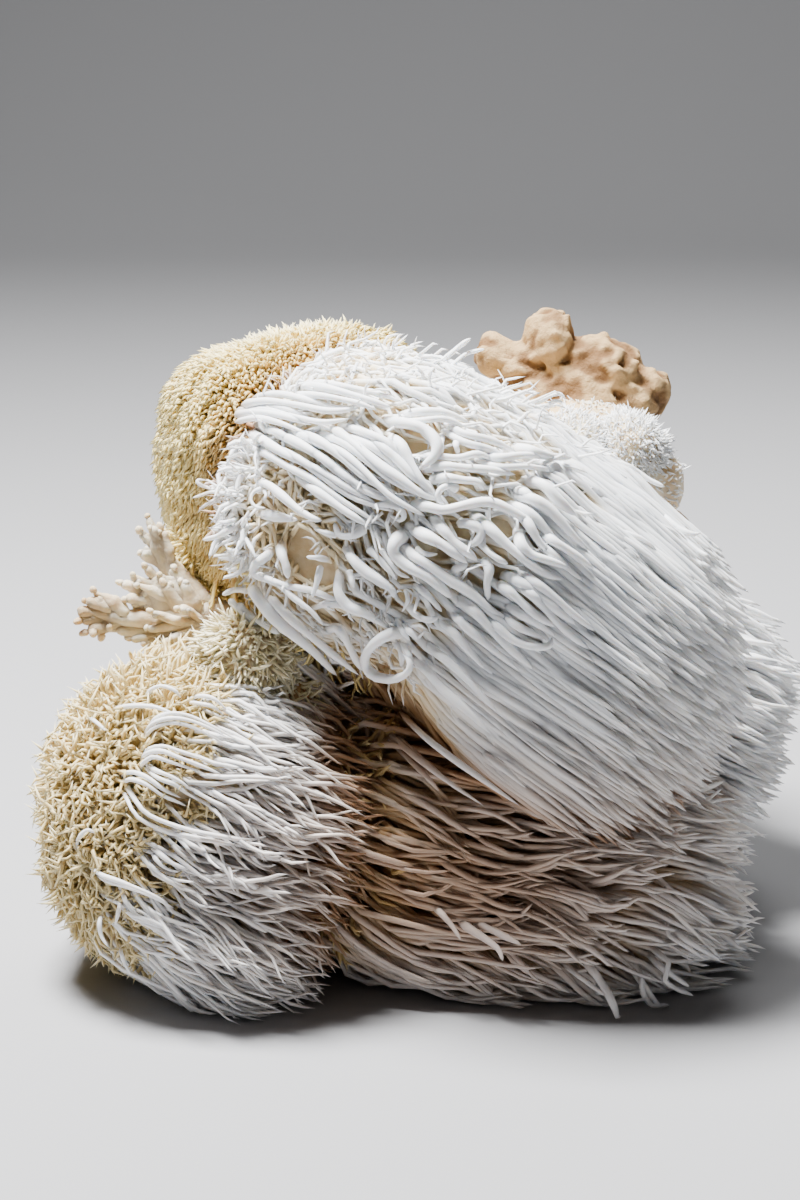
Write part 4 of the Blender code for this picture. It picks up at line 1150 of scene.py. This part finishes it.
def stem_down(name, look):
    """Fine short down on the trunk: at every other point of a tube round its line, away from that line."""
    rng = np.random.default_rng(74)
    thin = [0.9 * radius for radius in STEM_RADII]
    skin, core = (tube(STEM_LINE, radii, 70, 72, 0.15, 3)[0] for radii in (STEM_RADII, thin))
    roots, outs = skin[::2], unit(skin - core)[::2]
    free = np.ones(len(roots), bool)
    for lobe in LOBES:
        free &= over_skin(lobe, roots) > 0
    roots, outs = roots[free], outs[free]
    return down(name, look, roots, outs, (0.16, 0.28), (0.8, 2.0), rng, 3, 2, 0.3)


def fuzz(name, look, places, radius, length, seed, sides=4, rings=4, droop=0.25):
    """Short spines over some of the trunk's knobs: rows of knob, the way that they face, and count."""
    rng = np.random.default_rng(seed)
    roots, outs = [], []
    for number, facing, count in places:
        ways = even_ways(count)
        ways = ways[ways @ unit(facing) > -0.05]
        roots.append(knob_skin(number, ways) - 0.3 * ways)
        outs.append(ways)
    return down(name, look, np.concatenate(roots), np.concatenate(outs), radius, length, rng, sides, rings, droop)


def down(name, look, roots, outs, radius, length, rng, sides, rings, droop):
    """One piece of short spines: each a bent line from its root, root + length (t head + t^2 bend)."""
    count = len(roots)
    heads = unit(outs + rng.normal(0, 0.35, (count, 3)) + (0, 0, -droop))
    bend = rng.normal(0, 0.25, (count, 3))
    t = np.linspace(0, 1, rings + 1)
    lengths = rng.uniform(*length, count)[:, None, None]
    lines = roots[:, None] + lengths * (heads[:, None] * t[:, None] + bend[:, None] * (t * t)[:, None])
    points, faces = sweep(lines, taper(t[None], rng.uniform(*radius, count)), sides)
    values = {
        "along": np.tile(np.append(np.repeat(t[:-1], sides), 1.0), count),
        "tone": np.repeat(rng.uniform(0, 1, count), rings * sides + 1),
        "painted_shade": np.zeros(len(points)),
        "deep": np.zeros(len(points)),
    }
    tell(name, count, faces)
    return put_mesh(name, points, faces, values, look)


# Build


# The last colour of each spine finish is its painted warm shade between lobes and under the front lobe
WHITE = spine_finish("white_spine_wax", rgb(0.79, 0.62, 0.36), rgb(0.88, 0.895, 0.91), rgb(0.90, 0.91, 0.92),
                     rgb(0.85, 0.83, 0.78), rgb(0.30, 0.135, 0.035))
CREAM = spine_finish("cream_stub_wax", rgb(0.74, 0.54, 0.22), rgb(0.80, 0.64, 0.28), rgb(0.86, 0.73, 0.38),
                     rgb(0.75, 0.57, 0.23), rgb(0.56, 0.37, 0.14))
PALE_CREAM = spine_finish("pale_cream_spine_wax", rgb(0.60, 0.46, 0.24), rgb(0.77, 0.69, 0.47),
                          rgb(0.84, 0.79, 0.62), rgb(0.66, 0.56, 0.34), rgb(0.38, 0.23, 0.09))
TAN = spine_finish("tan_stub_wax", rgb(0.60, 0.45, 0.20), rgb(0.70, 0.57, 0.30), rgb(0.79, 0.69, 0.43),
                   rgb(0.62, 0.48, 0.24), rgb(0.34, 0.19, 0.06))
CREAM_FLESH = flesh_finish("cream_flesh", rgb(0.82, 0.72, 0.50), rgb(0.66, 0.50, 0.28), 5.0)
TAN_FLESH = flesh_finish("tan_flesh", rgb(0.70, 0.50, 0.25), rgb(0.52, 0.30, 0.10), 5.0)
PALE_FLESH = flesh_finish("pale_flesh", rgb(0.84, 0.77, 0.60), rgb(0.66, 0.48, 0.26), 14.0)
BUFF_FLESH = flesh_finish("buff_sprout_flesh", rgb(0.74, 0.64, 0.49), rgb(0.56, 0.44, 0.29), 5.0)
CRUST = crust_finish("foot_crust")


def add(piece, slot, *nodes):
    """Let a piece ride on the clump and stand for the nodes it replaces; its slot is not used."""
    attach(piece, "root")
    if nodes:
        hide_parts(*nodes)
    return piece


def down_hang(lobe, points):
    """How far points lie along the hang from the lobe's centre."""
    return (points - heart(lobe)) @ unit(lobe.hang)


def combed(points):
    """1 where the front lobe's spines lie combed, 0 where they tangle."""
    return smooth(-17, -1, down_hang(FRONT, points) + 5 * ripple(points, 18.0, 9))


def tangled(points):
    """The rest of the front lobe, but for its fuzzy edge."""
    return (1 - combed(points)) * (1 - near(points, FUZZY_EDGE))


def left_edge(points):
    """The left edge of the front lobe, where short spines stick out every way."""
    return near(points, LEFT_EDGE)


def wispy(points):
    """Thin wild hairs: many at the left edge, a few over the tangle."""
    return np.maximum(left_edge(points), 0.12 * (1 - combed(points)))


def fuzzy(points):
    """The edge of the front lobe where short fuzz takes the place of long spines."""
    return 0.95 * near(points, FUZZY_EDGE)


OWN_LINES, OWN_RADII, OWN_HOMES = stray_lines()

add(flesh("front_flesh", FRONT, CREAM_FLESH, 120, 80), "white_spines", "front_lobe")
add(flesh("back_flesh", BACK, TAN_FLESH, 72, 48), "cream_stubs", "back_lobe")
add(flesh("left_flesh", LEFT, CREAM_FLESH, 72, 48), "curly_spines", "left_lobe")
add(flesh("lower_flesh", LOWER, TAN_FLESH, 72, 48), "shaded_spines", "lower_lobe")
add(flesh("right_flesh", RIGHT, TAN_FLESH, 72, 48), "far_spines", "right_lobe")
add(foot("foot_crust", CRUST), "brown_crust", "foot")
add(stem("stem_flesh", PALE_FLESH), "pale_flesh", "stem")
add(sprout("sprout_coral", BUFF_FLESH), "buff_sprout", "sprout")

add(spines("front_combed_spines", FRONT, Growth(
    seed=11, roots=3200, facing=(-0.6, 1.1), sides=5, rings=9, radius=(0.60, 0.90), length=(18, 50),
    lean=0.2, turn=0.25, stray=0.015, sway=(0.15, 30.0), curl=0.02, stand=(0.3, 5.5), lift=(0.1, 1.0),
    locks=(6, 0.1), hug=0.4, layered=True, clear=0.7, drop=6.0), WHITE, combed), "white_spines")
add(spines("front_thick_spines", FRONT, Growth(
    seed=12, roots=2200, facing=(-0.95, 0.5), sides=5, rings=11, radius=(0.55, 0.85), length=(20, 44),
    lean=0.1, turn=0.3, stray=0.13, sway=(0.8, 19.0), curl=0.08, stand=(0.3, 2.5), lift=(0.1, 0.7),
    locks=(5, 0.3), hug=0.6, clear=1.4), WHITE, tangled), "white_spines")
add(spines("front_tangle_spines", FRONT, Growth(
    seed=16, roots=4200, facing=(-0.95, 0.5), sides=4, rings=6, radius=(0.34, 0.58), length=(8, 20),
    lean=0.3, turn=0.14, stray=0.4, sway=(1.0, 9.0), curl=0.35, stand=(0.0, 0.7), lift=(0.1, 0.7),
    hug=0.6, clear=0.4), WHITE, tangled), "white_spines")
add(spines("front_wisps", FRONT, Growth(
    seed=13, roots=6000, facing=(-1.1, 0.2), sides=3, rings=4, radius=(0.20, 0.38), length=(3, 6),
    lean=0.7, turn=0.0, stray=1.0, sway=(0.5, 6.0), curl=0.5, stand=(1, 4), lift=(0.6, 1.1), start=0.8),
    WHITE, wispy), "white_spines")
add(spines("front_edge_spines", FRONT, Growth(
    seed=14, roots=4200, facing=(-1.1, -0.45), sides=4, rings=6, radius=(0.34, 0.70), length=(5, 11),
    lean=0.8, turn=0.06, stray=0.55, sway=(0.5, 7.0), curl=0.3, stand=(1, 6), lift=(0.0, 0.3)),
    WHITE, left_edge), "white_spines")
add(spines("front_fuzz", FRONT, Growth(
    seed=15, roots=9000, facing=(-1.1, 0.9), sides=4, rings=4, radius=(0.28, 0.42), length=(4, 8),
    lean=0.85, turn=0.08, stray=0.6, sway=(0.5, 6.0), curl=0.4, stand=(1, 6), lift=(0.0, 0.4)),
    CREAM, fuzzy), "white_spines")
add(stray_spines("front_stray_spines", WHITE), "white_spines")
add(spines("back_stubs", BACK, Growth(
    seed=21, roots=17000, facing=(-1.1, 0.75), sides=4, rings=2, radius=(0.30, 0.46), length=(2.6, 4.4),
    lean=0.85, turn=0.08, stray=0.35, sway=(0.15, 5.0), curl=0.15, stand=(2, 5), lift=(0.0, 0.2)),
    CREAM), "cream_stubs")
add(spines("back_hanging_spines", BACK, Growth(
    seed=22, roots=900, facing=(0.6, 1.1), sides=5, rings=6, radius=(0.45, 0.65), length=(8, 14),
    lean=0.6, turn=0.2, stray=0.15, sway=(0.2, 12.0), curl=0.1, stand=(2, 6), lift=(0.0, 0.5)),
    CREAM), "cream_stubs")
add(spines("left_long_spines", LEFT, Growth(
    seed=31, roots=2800, facing=(-0.35, 1.1), sides=4, rings=7, radius=(0.36, 0.58), length=(18, 36),
    lean=0.4, turn=0.16, stray=0.2, sway=(0.7, 18.0), curl=0.12, stand=(2.0, 12.0), lift=(0.1, 1.0),
    locks=(14, 0.55)), WHITE), "curly_spines")
add(spines("left_curly_stubs", LEFT, Growth(
    seed=32, roots=9500, facing=(-1.1, 0.1), sides=4, rings=3, radius=(0.32, 0.50), length=(3.5, 7),
    lean=0.85, turn=0.08, stray=0.5, sway=(0.5, 5.0), curl=0.6, stand=(3, 6), lift=(0.0, 0.4)),
    TAN), "curly_spines")
add(spines("lower_long_spines", LOWER, Growth(
    seed=41, roots=2350, facing=(-0.8, 1.1), sides=5, rings=7, radius=(0.45, 0.72), length=(18, 36),
    lean=0.5, turn=0.2, stray=0.18, sway=(0.4, 20.0), curl=0.1, stand=(0.0, 10.0), lift=(0.1, 0.9),
    locks=(16, 0.65), drop=-5.0), WHITE), "shaded_spines")
add(spines("lower_back_stubs", LOWER, Growth(
    seed=42, roots=3600, facing=(-1.1, -0.4), sides=4, rings=4, radius=(0.38, 0.55), length=(5, 9),
    lean=0.85, turn=0.1, stray=0.5, sway=(0.4, 7.0), curl=0.3, stand=(3, 7), lift=(0.0, 0.4)),
    TAN), "shaded_spines")
add(spines("right_long_spines", RIGHT, Growth(
    seed=51, roots=1500, facing=(-0.3, 1.1), sides=5, rings=7, radius=(0.60, 0.85), length=(16, 32),
    lean=0.5, turn=0.2, stray=0.12, sway=(0.4, 20.0), curl=0.08, stand=(2.0, 8.0), lift=(0.1, 0.8),
    locks=(10, 0.3)), WHITE), "far_spines")
add(spines("right_stubs", RIGHT, Growth(
    seed=52, roots=2600, facing=(-1.1, -0.2), sides=4, rings=4, radius=(0.40, 0.60), length=(5, 9),
    lean=0.85, turn=0.1, stray=0.35, sway=(0.3, 8.0), curl=0.2, stand=(3, 6), lift=(0.0, 0.3)),
    CREAM), "far_spines")
add(stem_down("stem_down", WHITE), "pale_flesh")
add(fuzz("neck_fuzz", WHITE, (
    (2, (0.0, -0.6, 0.7), 2400), (3, (0.0, -0.5, 0.8), 2600), (0, (-0.4, -0.8, 0.4), 500)),
    (0.18, 0.30), (0.8, 2.4), 71, sides=3, rings=3), "pale_flesh")
add(fuzz("front_under_fuzz", PALE_CREAM, (
    (7, (-0.4, -0.9, -0.1), 1500), (8, (0.0, -1.0, -0.1), 1000)),
    (0.24, 0.40), (1.8, 4.2), 72, droop=0.5), "white_spines")
add(fuzz("back_under_fuzz", CREAM, (
    (9, (-0.8, -0.6, 0.1), 900), (10, (-0.8, -0.6, 0.0), 900)),
    (0.28, 0.42), (2.0, 4.5), 73, droop=0.4), "cream_stubs")


# Stage


def plain(name, colour, roughness):
    """A plain matt finish."""
    return Finish(name, {"Base Color": rgb(*colour), "Roughness": roughness}).material


def stage_floor():
    """A pale floor that curves up far behind into a backdrop: a profile drawn out sideways."""
    run = np.linspace(-1500, 900, 30)
    bend = np.linspace(0, np.pi / 2, 16)[1:]
    profile = [(y, 0.0) for y in run] + [(900 + 400 * math.sin(a), 400 - 400 * math.cos(a)) for a in bend]
    profile = np.array(profile + [(1300.0, 2500.0)])
    wide = np.linspace(-2500, 2500, 12)
    shape = (len(profile), len(wide))
    grid = np.stack([np.broadcast_to(wide, shape), np.broadcast_to(profile[:, :1], shape),
                     np.broadcast_to(profile[:, 1:], shape)], axis=-1)
    faces = [grid_faces(*shape, closed=False)]
    floor = put_mesh("floor", grid.reshape(-1, 3), faces, None, plain("pale_floor", (0.36, 0.36, 0.37), 0.85))


def area_light(name, place, target, size, power, colour=(1, 1, 1)):
    """A soft square light that faces a point."""
    lamp = bpy.data.lights.new(name, "AREA")
    lamp.shape, lamp.size, lamp.energy, lamp.color = "SQUARE", size * MM, power, colour
    thing = bpy.data.objects.new(name, lamp)
    bpy.context.scene.collection.objects.link(thing)
    thing.location = Vector(place) * MM
    thing.rotation_euler = (Vector(target) - Vector(place)).to_track_quat("-Z", "Y").to_euler()


def lights():
    """A large soft key from above on the left, and a weak even sky."""
    area_light("key", (-165, 10, 630), (0, -10, 60), 200, 25.0)
    area_light("rim", (150, 420, 500), (0, 0, 60), 300, 2.5)
    world = bpy.data.worlds.new("studio")
    world.use_nodes = True
    bpy.context.scene.world = world
    sky = world.node_tree.nodes["Background"]
    sky.inputs["Color"].default_value = (1.0, 0.99, 0.97, 1.0)
    sky.inputs["Strength"].default_value = 0.045


def camera():
    """The photograph's view: level left to right, tilted down a little, long lens."""
    lens = bpy.data.cameras.new("camera")
    lens.lens, lens.sensor_width, lens.sensor_fit = LENS, SENSOR, "AUTO"
    thing = bpy.data.objects.new("camera", lens)
    bpy.context.scene.collection.objects.link(thing)
    look = Vector((0, math.cos(VIEW_TILT), -math.sin(VIEW_TILT)))
    thing.location = (Vector(VIEW_TARGET) - look * VIEW_DISTANCE) * MM
    thing.rotation_euler = look.to_track_quat("-Z", "Y").to_euler()
    bpy.context.scene.camera = thing


stage_floor()
lights()
camera()
